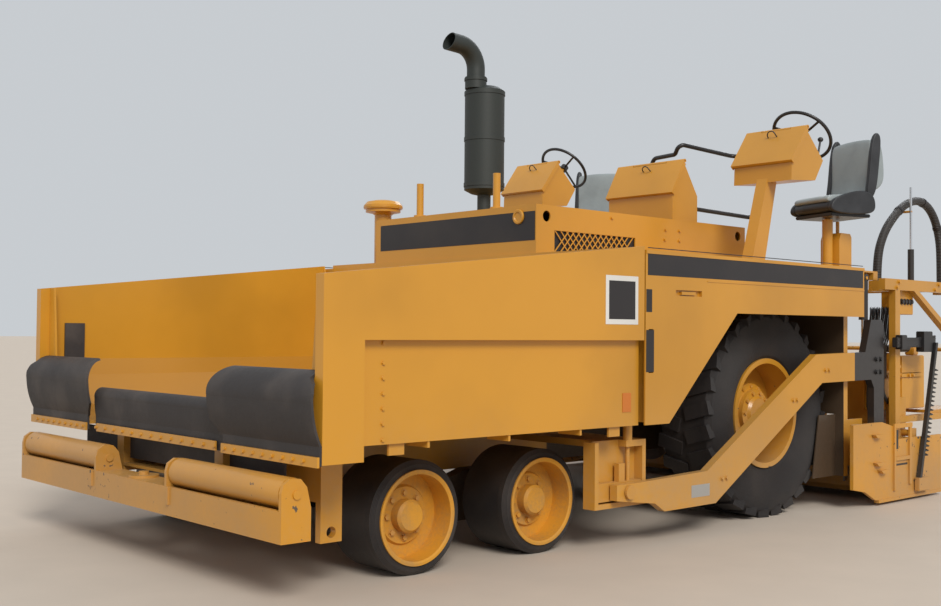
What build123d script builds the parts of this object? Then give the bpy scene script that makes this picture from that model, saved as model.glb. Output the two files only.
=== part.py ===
from math import cos, radians, sin
import os

from build123d import *

os.makedirs("parts", exist_ok=True)

# Driving dimensions, mm. X forward, Y to the machine's left, Z up from the ground.
# A station is the distance behind the hopper's front lip.
REAR_STATION = 6300.0
FRONT_REACH = 132.0
LIP_X = (REAR_STATION - FRONT_REACH) / 2
HALF_WIDTH = 1550.0
RUN_CLEARANCE = 0.05
MOVE_CLEARANCE = 6.0

# Chassis.
RAIL_INNER_Y = 500.0
RAIL_OUTER_Y = 580.0
RAIL_LOW_Z = 400.0
FLOOR_Z = 640.0
FLOOR_PLATE = 12.0
WALL_OUTER_Y = 600.0
BULKHEAD_STATION = 2140.0
BULKHEAD_PLATE = 30.0
BULKHEAD_LOW_Z = 690.0
REAR_PLATE_STATION = 4450.0
REAR_PLATE = 55.0
TIE_DOWN_R = 26.0

# Front bogies: four steered wheels with solid tyres.
FRONT_WHEEL_STATIONS = (794.0, 1663.0)
FRONT_TYRE_R = 281.5
FRONT_TYRE_WIDTH = 361.0
FRONT_WHEEL_Y = 1055.5
FRONT_RIM_R = FRONT_TYRE_R - 53.5
KINGPIN_Y = 800.0
KINGPIN_R = 18.0
KINGPIN_BOSS_R = 42.0
SPINDLE_R = 32.0
BOGIE_PAD = 30.0

# Rear drive wheels with pneumatic tyres.
REAR_WHEEL_STATION = 3700.0
REAR_WHEEL_Y = 1120.0
REAR_TYRE_R = 675.0
REAR_TYRE_WIDTH = 430.0
REAR_RIM_R = 345.0
REAR_SPINDLE_R = 70.0
LUG_HEIGHT = 14.0
LUG_COUNT = 28

# Hopper wings.
WING_HINGE_Y = 748.0
WING_HINGE_Z = 655.0
WING_PIN_R = 14.0
WING_TUBE_R = 26.0
WING_REAR_STATION = BULKHEAD_STATION - 12
WING_TOP_FRONT_Z = 1435.0
WING_TOP_REAR_Z = 1671.0
WING_INNER_Y = HALF_WIDTH - 60
PANEL_Y = HALF_WIDTH - 40
LEDGE_Z = 1153.0
POST_LENGTH = 220.0
FLAP_SHEET = 12.0

# Rear body and hood.
BODY_REAR_STATION = REAR_PLATE_STATION + REAR_PLATE
BODY_TOP_Z = 1652.0
SKIN_Y = HALF_WIDTH - 5
SKIN = 10.0
ARCH_TOP_Z = 2 * REAR_TYRE_R - 35
ARCH_CEILING_Z = 2 * REAR_TYRE_R + 120
HOOD_STATION = 2150.0
HOOD_REAR_STATION = 4336.0
HOOD_RIGHT_Y = -892.0
HOOD_LEFT_Y = 692.0
HOOD_TOP_Z = 1972.0
HOOD_SHEET = 10.0
GRILLE_FRONT = 2312.0
GRILLE_REAR = 3085.0
GRILLE_LOW_Z = 1690.0
GRILLE_HIGH_Z = 1820.0
DECK_REAR_STATION = 4960.0
DECK_HALF_WIDTH = 1400.0

# Exhaust and air intake.
MUFFLER_STATION = 2545.0
MUFFLER_Y = -200.0
MUFFLER_R = 137.0
MUFFLER_LOW_Z = 2139.0
MUFFLER_TOP_Z = 2871.0
TAILPIPE_R = 62.0

# Operator stations.
CONSOLE_Y = 1150.0
CONSOLE_HALF_WIDTH = 226.0
STEERING_STATION = 4360.0
STEERING_Z = 2597.0
STEERING_TILT = 44.3
STEERING_R = 208.0
STEERING_SHAFT_R = 14.0
LID_PIN_R = 7.0
LID_TUBE_R = 14.0
LID_SHEET = 8.0
CONSOLE_RIDGE = (4045.0, 2592.0)
CENTRE_RIDGE = (4150.0, 2490.0)
CENTRE_BOX_Y = (-345.0, 275.0)
SEAT_STATION = 4700.0
SEAT_Z = 2033.0
SEAT_TURN = 20.0
SEAT_HALF_WIDTH = 235.0
SEAT_PIN_R = 20.0
RAIL_PIPE_R = 17.0

# Push beam.
BEAM_PIVOT_STATION = 100.0
BEAM_PIVOT_R = 25.0
BEAM_LOW_Z = 285.0
BEAM_TOP_Z = 425.0
BEAM_HALF_WIDTH = 1430.0
ROLLER_R = 70.0
ROLLER_STATION = -46.0
ROLLER_Z = 490.0
ROLLER_INNER_Y = 420.0
ROLLER_PIN_R = 20.0
BEAM_CHEEK = 20.0

# Tow points, tow arms and their lift cylinders.
TOW_PIN_STATION = 2085.0
TOW_PIN_Z = 320.0
TOW_PIN_R = 22.0
TOW_ARM_INNER_Y = 1430.0
TOW_ARM_OUTER_Y = 1480.0
TOW_ROD_STATION = 2172.0
TOW_ROD_R = 12.0
LIFT_STATION = 4800.0
LIFT_Y = TOW_ARM_INNER_Y - 54
LIFT_TOP_Z = 1600.0
LIFT_EYE_Z = 1035.0
LIFT_PIN_R = 12.0
LIFT_BARREL_R = 32.0
LIFT_BARREL_LENGTH = 300.0
LIFT_ROD_R = 16.0
LIFT_EYE_R = 30.0

# Auger and screed.
AUGER_STATION = 4700.0
AUGER_Z = 330.0
AUGER_R = 180.0
AUGER_TUBE_R = 45.0
AUGER_PITCH = 330.0
AUGER_PIN_R = 20.0
SCREED_FRONT_STATION = 4899.0
SCREED_DEPTH = 391.0
SCREED_HALF_WIDTH = 1490.0
SCREED_SHEET = 15.0
EXTENSION_STATION = SCREED_FRONT_STATION + SCREED_DEPTH + 12
EXTENSION_DEPTH = 340.0
GUIDE_R = 25.0
GATE_SHEET = 25.0
GATE_ROD_R = 10.0
WALK_Z = 600.0
GUARD_TOP_Z = 1600.0
HOSE_R = 32.0
HOSE_Y = 1250.0
HOSE_FRONT_STATION = 5232.0
HOSE_REAR_STATION = 6262.0

SIDES = (("left", 1), ("right", -1))


def block(s0, s1, y0, y1, z0, z1, mode=Mode.ADD):
    centre = (LIP_X - (s0 + s1) / 2, (y0 + y1) / 2, (z0 + z1) / 2)
    with Locations(centre):
        Box(abs(s1 - s0), abs(y1 - y0), abs(z1 - z0), mode=mode)


def side_prism(points, y0, y1, mode=Mode.ADD):
    low, high = min(y0, y1), max(y0, y1)
    with BuildSketch(Plane.XZ.offset(-low)) as outline:
        with BuildLine():
            Polyline([(LIP_X - s, z) for s, z in points], close=True)
        make_face()
    extrude(outline.sketch, amount=-(high - low), mode=mode)


def front_prism(points, s0, s1, mode=Mode.ADD):
    near, far = min(s0, s1), max(s0, s1)
    with BuildSketch(Plane.YZ.offset(LIP_X - far)) as outline:
        with BuildLine():
            Polyline(points, close=True)
        make_face()
    extrude(outline.sketch, amount=far - near, mode=mode)


def rod(start, end, radius, mode=Mode.ADD):
    a = Vector(LIP_X - start[0], start[1], start[2])
    b = Vector(LIP_X - end[0], end[1], end[2])
    with Locations(Plane(origin=(a + b) / 2, z_dir=b - a)):
        Cylinder(radius, (b - a).length, mode=mode)


def cross_rod(station, z, y0, y1, radius, mode=Mode.ADD):
    rod((station, y0, z), (station, y1, z), radius, mode)


def stand_rod(station, y, z0, z1, radius, mode=Mode.ADD):
    rod((station, y, z0), (station, y, z1), radius, mode)


def turned(profile, station, z, middle_y, side=1, mode=Mode.ADD):
    # Profile points are (radius, distance out from middle_y).
    axle = Plane(origin=(LIP_X - station, 0, z), x_dir=(0, 1, 0), z_dir=(1, 0, 0))
    with BuildSketch(axle) as half_section:
        with BuildLine():
            Polyline([(side * (middle_y + out), radius) for radius, out in profile], close=True)
        make_face()
    revolve(half_section.sketch, axis=Axis((LIP_X - station, 0, z), (0, 1, 0)), mode=mode)


def upright(profile, station, y):
    # Profile points are (radius, height).
    with BuildSketch(Plane(origin=(LIP_X - station, y, 0), x_dir=(1, 0, 0), z_dir=(0, -1, 0))) as half_section:
        with BuildLine():
            Polyline([(radius, z) for radius, z in profile], close=True)
        make_face()
    revolve(half_section.sketch, axis=Axis((LIP_X - station, y, 0), (0, 0, 1)))


def bent_pipe(points, bends, radius):
    with BuildLine() as route:
        FilletPolyline(*[(LIP_X - s, y, z) for s, y, z in points], radius=bends)
    path = route.wire()
    with BuildSketch(Plane(origin=path @ 0, z_dir=path % 0)) as section:
        Circle(radius)
    sweep(sections=section.sketch, path=path)


def save(part, name):
    part.label = name
    export_step(part, "parts/" + name + ".step")


# Main frame: weldments that stand against each other.
# The chassis is rails, cross members, conveyor tunnel, belly plate and tow point guides.
GUIDE_INNER_Y = TOW_ARM_INNER_Y - 90
GUIDE_OUTER_Y = TOW_ARM_INNER_Y - 6
BULKHEAD_REAR = BULKHEAD_STATION + BULKHEAD_PLATE
TUNNEL_HALF_WIDTH = 560.0
TUNNEL_TOP_Z = 1000.0
with BuildPart() as chassis:
    for side in (1, -1):
        block(90, REAR_PLATE_STATION, side * RAIL_INNER_Y, side * RAIL_OUTER_Y, RAIL_LOW_Z, FLOOR_Z)
        block(240, 360, side * 1160, side * 1200, 215, RAIL_LOW_Z)
        block(1180, 1276, side * 440, side * RAIL_OUTER_Y, FRONT_TYRE_R + 58.5, RAIL_LOW_Z)
        block(BULKHEAD_STATION, BULKHEAD_REAR, side * RAIL_INNER_Y, side * RAIL_OUTER_Y, 600, BULKHEAD_LOW_Z)
    block(90, REAR_PLATE_STATION, -RAIL_INNER_Y, RAIL_INNER_Y, 430, 445)
    block(240, 360, -1200, 1200, RAIL_LOW_Z, 600)
    for side in (1, -1):
        # Tow point guide: a channel open outwards with a cap plate over it and a pad under it.
        block(1870, 2300, side * GUIDE_INNER_Y, side * GUIDE_OUTER_Y, 232, 260)
        block(1870, 1900, side * GUIDE_INNER_Y, side * GUIDE_OUTER_Y, 260, 596)
        block(2270, 2300, side * GUIDE_INNER_Y, side * GUIDE_OUTER_Y, 260, 596)
        block(1870, 2300, side * GUIDE_INNER_Y, side * (GUIDE_INNER_Y + 25), 260, 596)
        block(1960, 2300, side * RAIL_OUTER_Y, side * GUIDE_INNER_Y, 560, 596)
        block(TOW_ROD_STATION - 42, TOW_ROD_STATION + 98, side * GUIDE_INNER_Y, side * GUIDE_OUTER_Y, 560, 596)
        stand_rod(TOW_ROD_STATION, side * (TOW_ARM_INNER_Y - 32), 596, 680, 26)
    # Auger drive box on the centre line.
    block(BODY_REAR_STATION, AUGER_STATION + 40, -60, 60, 280, 600)
    block(REAR_PLATE_STATION - 10, BODY_REAR_STATION + 55, -60, 60, RAIL_LOW_Z, FLOOR_Z)
    cross_rod(AUGER_STATION, AUGER_Z, -130, 130, AUGER_PIN_R)
    # Bumper bracket strips under the lip, and the bores cut last.
    for side in (1, -1):
        block(120, 300, side * 1080, side * 1190, 590, 600)
        cross_rod(300, 262, side * 1150, side * 1210, TIE_DOWN_R, mode=Mode.SUBTRACT)
        stand_rod(TOW_ROD_STATION, side * (TOW_ARM_INNER_Y - 32), 500, 700, TOW_ROD_R + RUN_CLEARANCE, mode=Mode.SUBTRACT)

# The hopper's rear wall, open in the middle where the conveyors run through.
with BuildPart() as hopper_rear_wall:
    block(BULKHEAD_STATION, BULKHEAD_REAR, -1400, 1400, BULKHEAD_LOW_Z, 1672)
    block(BULKHEAD_STATION, BULKHEAD_REAR, -TUNNEL_HALF_WIDTH, TUNNEL_HALF_WIDTH, FLOOR_Z, TUNNEL_TOP_Z, mode=Mode.SUBTRACT)

# The tunnel's side walls on the rails.
with BuildPart() as tunnel_walls:
    for side in (1, -1):
        block(BULKHEAD_REAR, REAR_PLATE_STATION, side * TUNNEL_HALF_WIDTH, side * WALL_OUTER_Y, FLOOR_Z, 1150)

# The rear plate, open in the middle too.
with BuildPart() as rear_plate:
    block(REAR_PLATE_STATION, BODY_REAR_STATION, -1420, 1420, FLOOR_Z, BODY_TOP_Z - 12)
    block(REAR_PLATE_STATION, BODY_REAR_STATION, -TUNNEL_HALF_WIDTH, TUNNEL_HALF_WIDTH, FLOOR_Z, TUNNEL_TOP_Z, mode=Mode.SUBTRACT)

# The corner posts below it, each with its tyre's scraper and the auger's outer hanger.
with BuildPart() as corner_posts:
    for side in (1, -1):
        block(REAR_PLATE_STATION, BODY_REAR_STATION, side * 1350, side * 1420, 215, FLOOR_Z)
        scraper = [(4240, FLOOR_Z), (REAR_PLATE_STATION + 10, FLOOR_Z), (REAR_PLATE_STATION + 10, 215), (4160, 215)]
        side_prism(scraper, side * 1350, side * 1358)
        block(BODY_REAR_STATION, AUGER_STATION + 40, side * 1386, side * 1400, 280, 600)
        cross_rod(AUGER_STATION, AUGER_Z, side * 1300, side * 1400, AUGER_PIN_R)

# The lift cylinders' brackets, bolted on the rear plate.
with BuildPart() as lift_brackets:
    for side in (1, -1):
        bracket = [
            (BODY_REAR_STATION, LIFT_TOP_Z - 160), (BODY_REAR_STATION, LIFT_TOP_Z + 24),
            (LIFT_STATION + 30, LIFT_TOP_Z + 24), (LIFT_STATION + 30, LIFT_TOP_Z - 26),
        ]
        side_prism(bracket, side * (LIFT_Y - 60), side * (LIFT_Y - 42))
        cross_rod(LIFT_STATION, LIFT_TOP_Z, side * (LIFT_Y - 50), side * (LIFT_Y + 30), LIFT_PIN_R)
weldments = (chassis, hopper_rear_wall, tunnel_walls, rear_plate, corner_posts, lift_brackets)
save(Compound([solid for weldment in weldments for solid in weldment.part.solids()]), "main_frame")

# Axles: bogie beams with kingpins, the bogies' cross pin, and the rear final drives with their spindles.
BOGIE_LOW_Z = FRONT_TYRE_R - 161.5
BOGIE_TOP_Z = FRONT_TYRE_R + 128.5
with BuildPart() as axles:
    front, rear = FRONT_WHEEL_STATIONS
    middle = (front + rear) / 2
    for side in (1, -1):
        beam = [
            (front - 60, BOGIE_LOW_Z), (rear + 60, BOGIE_LOW_Z), (rear + 60, BOGIE_TOP_Z), (rear - 60, BOGIE_TOP_Z),
            (middle + 150, BOGIE_TOP_Z - 70), (middle - 150, BOGIE_TOP_Z - 70), (front + 60, BOGIE_TOP_Z),
            (front - 60, BOGIE_TOP_Z),
        ]
        side_prism(beam, side * 610, side * 690)
        block(1180, 1276, 0, side * 610, FRONT_TYRE_R - 41.5, FRONT_TYRE_R + 58.5)
        for station in FRONT_WHEEL_STATIONS:
            block(station - 45, station + 45, side * 690, side * (KINGPIN_Y + 45), BOGIE_LOW_Z, BOGIE_LOW_Z + BOGIE_PAD)
            block(station - 45, station + 45, side * 690, side * (KINGPIN_Y + 45), BOGIE_TOP_Z - BOGIE_PAD, BOGIE_TOP_Z)
            stand_rod(station, side * KINGPIN_Y, BOGIE_LOW_Z + 10, BOGIE_TOP_Z - 10, KINGPIN_R)
        # Final drive: flange on the frame wall, tapered housing and spindle.
        block(REAR_WHEEL_STATION - 150, REAR_WHEEL_STATION + 150, side * WALL_OUTER_Y, side * 640, REAR_TYRE_R - 175, REAR_TYRE_R + 175)
        housing = [(0, 620), (150, 620), (150, 680), (115, 760), (115, 880), (REAR_SPINDLE_R, 880), (REAR_SPINDLE_R, 1180), (0, 1180)]
        turned(housing, REAR_WHEEL_STATION, REAR_TYRE_R, 0, side)
save(axles.part, "axles")

# Hopper floor with the two conveyors' chains and slats, the chain guard and the wings' hinge pins.
SLAT_PITCH = 220
with BuildPart() as hopper_floor:
    top = FLOOR_Z + FLOOR_PLATE
    block(28, BULKHEAD_STATION - 1, -720, 720, FLOOR_Z, top)
    block(BULKHEAD_STATION - 1, REAR_PLATE_STATION + 54, -498, 498, FLOOR_Z, top)
    block(40, REAR_PLATE_STATION + 54, -30, 30, top, top + 68)
    for side in (1, -1):
        for chain_y in (90, 450):
            block(60, REAR_PLATE_STATION + 40, side * (chain_y - 12), side * (chain_y + 12), top, top + 14)
        for station in range(120, int(REAR_PLATE_STATION), SLAT_PITCH):
            block(station, station + 35, side * 60, side * 480, top, top + 20)
        for station in (60, 1020, 1980):
            block(station, station + 60, side * 690, side * WING_HINGE_Y, FLOOR_Z, FLOOR_Z + 30)
        cross = side * WING_HINGE_Y
        rod((60, cross, WING_HINGE_Z), (2040, cross, WING_HINGE_Z), WING_PIN_R)
save(hopper_floor.part, "hopper_floor")

# Side bodies: skins with the wheel arch, tanks and arch ceilings over the rear wheels.
with BuildPart() as side_bodies:
    for side in (1, -1):
        skin = [
            (2145, 687), (2357, 687), (3010, ARCH_TOP_Z), (BODY_REAR_STATION, ARCH_TOP_Z),
            (BODY_REAR_STATION, BODY_TOP_Z), (2145, BODY_TOP_Z),
        ]
        side_prism(skin, side * (SKIN_Y - SKIN), side * SKIN_Y)
        tank = [(2171, 700), (2345, 700), (2950, ARCH_TOP_Z + 15), (2950, BODY_TOP_Z - 7), (2171, BODY_TOP_Z - 7)]
        side_prism(tank, side * (WALL_OUTER_Y + 1), side * (SKIN_Y - SKIN + 1))
        block(2171, REAR_PLATE_STATION - 1, side * (WALL_OUTER_Y + 1), side * (SKIN_Y - 5), BODY_TOP_Z - 12, BODY_TOP_Z)
        block(2950, REAR_PLATE_STATION - 1, side * (WALL_OUTER_Y + 1), side * (SKIN_Y - 5), ARCH_CEILING_Z, ARCH_CEILING_Z + 12)
        block(4400, REAR_PLATE_STATION - 1, side * 1425, side * (SKIN_Y - 5), ARCH_CEILING_Z, BODY_TOP_Z - 7)
        # Raised edge along the top, lower panel's step and the two door slots.
        block(2150, BODY_REAR_STATION, side * SKIN_Y, side * (SKIN_Y + 4), BODY_TOP_Z - 20, BODY_TOP_Z)
        block(2707, BODY_REAR_STATION, side * SKIN_Y, side * (SKIN_Y + 3), 1493, 1499)
        block(2160, 2188, side * (SKIN_Y - 40), side * (SKIN_Y + 1), 1315, 1425, mode=Mode.SUBTRACT)
        block(2172, 2214, side * (SKIN_Y - 40), side * (SKIN_Y + 1), 973, 1215, mode=Mode.SUBTRACT)
        block(2413, 2657, side * (SKIN_Y - 18), side * (SKIN_Y + 1), 1405, 1438, mode=Mode.SUBTRACT)
        block(2470, 2600, side * (SKIN_Y - 18), side * (SKIN_Y - 2), 1412, 1430)
save(side_bodies.part, "side_bodies")

# Deck: the operators' platform behind the hood, over the auger, with its rear cross beam.
with BuildPart() as deck:
    block(REAR_PLATE_STATION - 1, DECK_REAR_STATION, -DECK_HALF_WIDTH, DECK_HALF_WIDTH, BODY_TOP_Z - 12, BODY_TOP_Z)
    for side in (1, -1):
        block(BODY_REAR_STATION, 4740, side * (DECK_HALF_WIDTH - 14), side * DECK_HALF_WIDTH, BODY_TOP_Z - 62, BODY_TOP_Z - 6)
    block(DECK_REAR_STATION - 60, DECK_REAR_STATION, -DECK_HALF_WIDTH, DECK_HALF_WIDTH, BODY_TOP_Z - 62, BODY_TOP_Z - 6)
    for y in (-900, -300, 300, 900):
        block(BODY_REAR_STATION, DECK_REAR_STATION, y - 6, y + 6, BODY_TOP_Z - 62, BODY_TOP_Z - 6)
save(deck.part, "deck")

# Hood over the engine, with an expanded metal grille in each side and round inspection holes.
with BuildPart() as hood:
    block(HOOD_STATION, HOOD_REAR_STATION, HOOD_RIGHT_Y, HOOD_LEFT_Y, BODY_TOP_Z, HOOD_TOP_Z)
    block(
        HOOD_STATION + HOOD_SHEET, HOOD_REAR_STATION - HOOD_SHEET, HOOD_RIGHT_Y + HOOD_SHEET,
        HOOD_LEFT_Y - HOOD_SHEET, BODY_TOP_Z, HOOD_TOP_Z - HOOD_SHEET, mode=Mode.SUBTRACT,
    )
    block(HOOD_STATION, 2170, HOOD_RIGHT_Y, HOOD_LEFT_Y, BODY_TOP_Z, 1672, mode=Mode.SUBTRACT)
    for wall_y in (HOOD_LEFT_Y, HOOD_RIGHT_Y):
        inward = -1 if wall_y > 0 else 1
        face_y, back_y = wall_y - inward, wall_y + inward * (HOOD_SHEET + 1)
        block(GRILLE_FRONT, GRILLE_REAR, face_y, back_y, GRILLE_LOW_Z, GRILLE_HIGH_Z, mode=Mode.SUBTRACT)
        for station in (2242, 4247):
            cross_rod(station, 1903, face_y, back_y, 34, mode=Mode.SUBTRACT)
    # Grille bars lean both ways and end in the frame of the opening.
    rise = GRILLE_HIGH_Z - GRILLE_LOW_Z
    for wall_y in (HOOD_LEFT_Y, HOOD_RIGHT_Y):
        inward = -1 if wall_y > 0 else 1
        for lean in (1, -1):
            for station in range(int(GRILLE_FRONT), int(GRILLE_REAR) - int(rise), 52):
                foot, head = (station, station + rise) if lean > 0 else (station + rise, station)
                bar = [(foot, GRILLE_LOW_Z - 4), (foot + 9, GRILLE_LOW_Z - 4), (head + 9, GRILLE_HIGH_Z + 4), (head, GRILLE_HIGH_Z + 4)]
                side_prism(bar, wall_y + inward * 3, wall_y + inward * 8)
    # Raised rims along the top edges and the hatch ahead of the muffler.
    block(HOOD_STATION + 110, 2400, HOOD_RIGHT_Y + 60, HOOD_LEFT_Y - 60, HOOD_TOP_Z, HOOD_TOP_Z + 6)
    block(2700, HOOD_REAR_STATION - 420, HOOD_RIGHT_Y + 60, HOOD_LEFT_Y - 60, HOOD_TOP_Z, HOOD_TOP_Z + 6)
save(hood.part, "hood")

# Engine as one plain block on its feet.
with BuildPart() as engine:
    block(2500, 3600, -350, 350, 1200, 1880)
    for station in (2600, 3450):
        block(station, station + 60, -RAIL_OUTER_Y + 1, RAIL_OUTER_Y - 1, 1150, 1200)
        for side in (1, -1):
            block(station, station + 60, side * (RAIL_OUTER_Y - 1), side * WALL_OUTER_Y, 1150, 1170)
save(engine.part, "engine")

# Exhaust: muffler with coned ends on a short pipe, a clamp and the tail pipe's forward elbow.
with BuildPart() as exhaust:
    can = [
        (0, HOOD_TOP_Z), (100, HOOD_TOP_Z), (100, HOOD_TOP_Z + 12), (46, HOOD_TOP_Z + 16), (46, MUFFLER_LOW_Z - 10),
        (90, MUFFLER_LOW_Z), (MUFFLER_R, MUFFLER_LOW_Z + 25), (MUFFLER_R, MUFFLER_TOP_Z - 25), (100, MUFFLER_TOP_Z), (0, MUFFLER_TOP_Z),
    ]
    upright(can, MUFFLER_STATION, MUFFLER_Y)
    pipe_station = MUFFLER_STATION - 85
    stand_rod(pipe_station, MUFFLER_Y, MUFFLER_TOP_Z - 20, MUFFLER_TOP_Z + 60, TAILPIPE_R + 12)
    elbow_z = MUFFLER_TOP_Z + 258
    route = [(pipe_station, MUFFLER_Y, MUFFLER_TOP_Z), (pipe_station, MUFFLER_Y, elbow_z), (pipe_station - 300, MUFFLER_Y, elbow_z + 12)]
    bent_pipe(route, 150, TAILPIPE_R)
    mouth = [(pipe_station - 310, elbow_z + 90), (pipe_station - 218, elbow_z + 90), (pipe_station - 272, elbow_z - 70), (pipe_station - 310, elbow_z - 70)]
    side_prism(mouth, MUFFLER_Y - 80, MUFFLER_Y + 80, mode=Mode.SUBTRACT)
    bore = [(pipe_station - 400, MUFFLER_Y, elbow_z + 16), (pipe_station - 150, MUFFLER_Y, elbow_z + 6)]
    rod(bore[0], bore[1], TAILPIPE_R - 5, mode=Mode.SUBTRACT)
save(exhaust.part, "exhaust")

# Hood fittings: the mushroom shaped air pre-cleaner and the two sight posts.
with BuildPart() as hood_fittings:
    mushroom = [
        (0, BODY_TOP_Z), (62, BODY_TOP_Z), (62, 2040), (80, 2052), (128, 2062), (128, 2082), (142, 2086),
        (142, 2112), (118, 2138), (60, 2150), (0, 2150),
    ]
    upright(mushroom, 2370, -1100)
    for y in (-470, 290):
        stand_rod(2200, y, HOOD_TOP_Z, 2200, 24)
        stand_rod(2200, y, HOOD_TOP_Z, HOOD_TOP_Z + 12, 42)
save(hood_fittings.part, "hood_fittings")

# Guard rails: the bent pipe between the stations and the mid rail behind the centre box.
with BuildPart() as guard_rails:
    over = [
        (4485, -296, BODY_TOP_Z), (4485, -296, 2600), (4430, -20, 2600), (4400, 40, 2673), (4930, 175, 2618),
        (4930, 435, 2600), (4930, 435, BODY_TOP_Z),
    ]
    bent_pipe(over, [60, 45, 45, 60, 60], RAIL_PIPE_R)
    middle_rail = [(4323, 243, 2144), (4930, 330, 2116), (4930, 430, 2112)]
    bent_pipe(middle_rail, 40, RAIL_PIPE_R)
save(guard_rails.part, "guard_rails")


def wheel_point(side, back):
    tilt = radians(STEERING_TILT)
    return (STEERING_STATION - back * sin(tilt), side * CONSOLE_Y, STEERING_Z - back * cos(tilt))


def lid_point(ridge, low, along, out):
    # A point that far down the lid from its hinge, and that far off its hinge line.
    run = Vector(low[0] - ridge[0], 0, low[1] - ridge[1]).normalized()
    return (ridge[0] + run.X * along + run.Z * out, ridge[1] + run.Z * along - run.X * out)


# Lids as name, ridge, low edge, middle Y, half width and half width of the hinge lug.
CONSOLE_LOW = (3862.0, 2352.0)
CENTRE_LOW = (4010.0, 2245.0)
CENTRE_Y = (CENTRE_BOX_Y[0] + CENTRE_BOX_Y[1]) / 2
CENTRE_HALF = (CENTRE_BOX_Y[1] - CENTRE_BOX_Y[0]) / 2
LIDS = (
    ("console_lid_left", CONSOLE_RIDGE, CONSOLE_LOW, CONSOLE_Y, CONSOLE_HALF_WIDTH, 110),
    ("console_lid_right", CONSOLE_RIDGE, CONSOLE_LOW, -CONSOLE_Y, CONSOLE_HALF_WIDTH, 110),
    ("centre_lid", CENTRE_RIDGE, CENTRE_LOW, CENTRE_Y, CENTRE_HALF, 160),
)
LID_SEAT = -MOVE_CLEARANCE

# Consoles: two operators' boxes on leaning columns, and the centre box on the hood.
with BuildPart() as consoles:
    for side in (1, -1):
        column = [(3677, BODY_TOP_Z), (3828, BODY_TOP_Z), (3991, 2300), (3883, 2300)]
        side_prism(column, side * (CONSOLE_Y - 42), side * (CONSOLE_Y + 42))
        block(3645, 3860, side * (CONSOLE_Y - 75), side * (CONSOLE_Y + 75), BODY_TOP_Z, BODY_TOP_Z + 12)
        box = [
            lid_point(CONSOLE_RIDGE, CONSOLE_LOW, 20, LID_SEAT), lid_point(CONSOLE_RIDGE, CONSOLE_LOW, 296, LID_SEAT),
            (3864, 2217), (4157, 2241), (4257, 2386), (4056, 2571),
        ]
        side_prism(box, side * (CONSOLE_Y - CONSOLE_HALF_WIDTH), side * (CONSOLE_Y + CONSOLE_HALF_WIDTH))
        rod(wheel_point(side, 260), wheel_point(side, 6), STEERING_SHAFT_R)
        rod(wheel_point(side, 260), wheel_point(side, 50), 26)
    centre = [
        (4018, HOOD_TOP_Z), lid_point(CENTRE_RIDGE, CENTRE_LOW, 276, LID_SEAT),
        lid_point(CENTRE_RIDGE, CENTRE_LOW, 20, LID_SEAT), (4162, 2469), (4320, 2235), (4320, HOOD_TOP_Z),
    ]
    side_prism(centre, CENTRE_BOX_Y[0], CENTRE_BOX_Y[1])
    for name, ridge, low, y, half, lug in LIDS:
        cross_rod(ridge[0], ridge[1], y - lug, y + lug, LID_TUBE_R)
        block(ridge[0] - 9, ridge[0] + 9, y - lug, y + lug, ridge[1] - 26, ridge[1])
        cross_rod(ridge[0], ridge[1], y - half - 6, y + half + 6, LID_PIN_R)
save(consoles.part, "consoles")

for name, ridge, low, y, half, lug in LIDS:
    length = (Vector(*ridge, 0) - Vector(*low, 0)).length
    inner, outer = LID_TUBE_R - LID_SHEET, LID_TUBE_R
    with BuildPart() as lid:
        def patch(along0, along1, out0, out1, y0, y1):
            corners = ((along0, out0), (along1, out0), (along1, out1), (along0, out1))
            side_prism([lid_point(ridge, low, along, out) for along, out in corners], y0, y1)
        patch(0, length + 14, inner, outer, y - half - 14, y + half + 14)
        patch(length + 6, length + 14, LID_SEAT + 2, outer, y - half - 14, y + half + 14)
        for edge in (1, -1):
            patch(16, length + 14, LID_SEAT - 16, outer, y + edge * (half + 6), y + edge * (half + 14))
            cross_rod(ridge[0], ridge[1], y + edge * (lug + 6), y + edge * (half + 14), LID_TUBE_R)
        cross_rod(ridge[0], ridge[1], y - lug - 6, y + lug + 6, LID_TUBE_R + MOVE_CLEARANCE, mode=Mode.SUBTRACT)
        cross_rod(ridge[0], ridge[1], y - half - 20, y + half + 20, LID_PIN_R + RUN_CLEARANCE, mode=Mode.SUBTRACT)
    save(lid.part, name)

for name, side in SIDES:
    with BuildPart() as steering_wheel:
        axis_dir = Vector(-sin(radians(STEERING_TILT)), 0, cos(radians(STEERING_TILT)))
        centre_point = Vector(LIP_X - STEERING_STATION, side * CONSOLE_Y, STEERING_Z)
        with Locations(Plane(origin=centre_point, x_dir=(0, 1, 0), z_dir=axis_dir)):
            Torus(STEERING_R, 12)
            Cylinder(32, 40)
            for angle in (90, 210, 330):
                with PolarLocations(0, 1, angle):
                    with Locations((STEERING_R / 2, 0, 0)):
                        Box(STEERING_R, 16, 8)
            Cylinder(STEERING_SHAFT_R + RUN_CLEARANCE, 60, mode=Mode.SUBTRACT)
    save(steering_wheel.part, "steering_wheel_" + name)

# Seat pedestals: post, swivel pin, valve box and damper.
with BuildPart() as seat_posts:
    for side in (1, -1):
        y = side * CONSOLE_Y
        stand_rod(SEAT_STATION, y, BODY_TOP_Z, SEAT_Z - 6, 38)
        stand_rod(SEAT_STATION, y, BODY_TOP_Z, BODY_TOP_Z + 14, 80)
        stand_rod(SEAT_STATION, y, SEAT_Z - 20, SEAT_Z + 14, SEAT_PIN_R)
        valve_box = [(4735, BODY_TOP_Z), (4905, BODY_TOP_Z), (4905, 1905), (4885, 1930), (4760, 1930), (4735, 1880)]
        side_prism(valve_box, y - 75, y + 75)
        stand_rod(4840, y, 1930, SEAT_Z - 12, 13)
save(seat_posts.part, "seat_posts")

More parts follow.
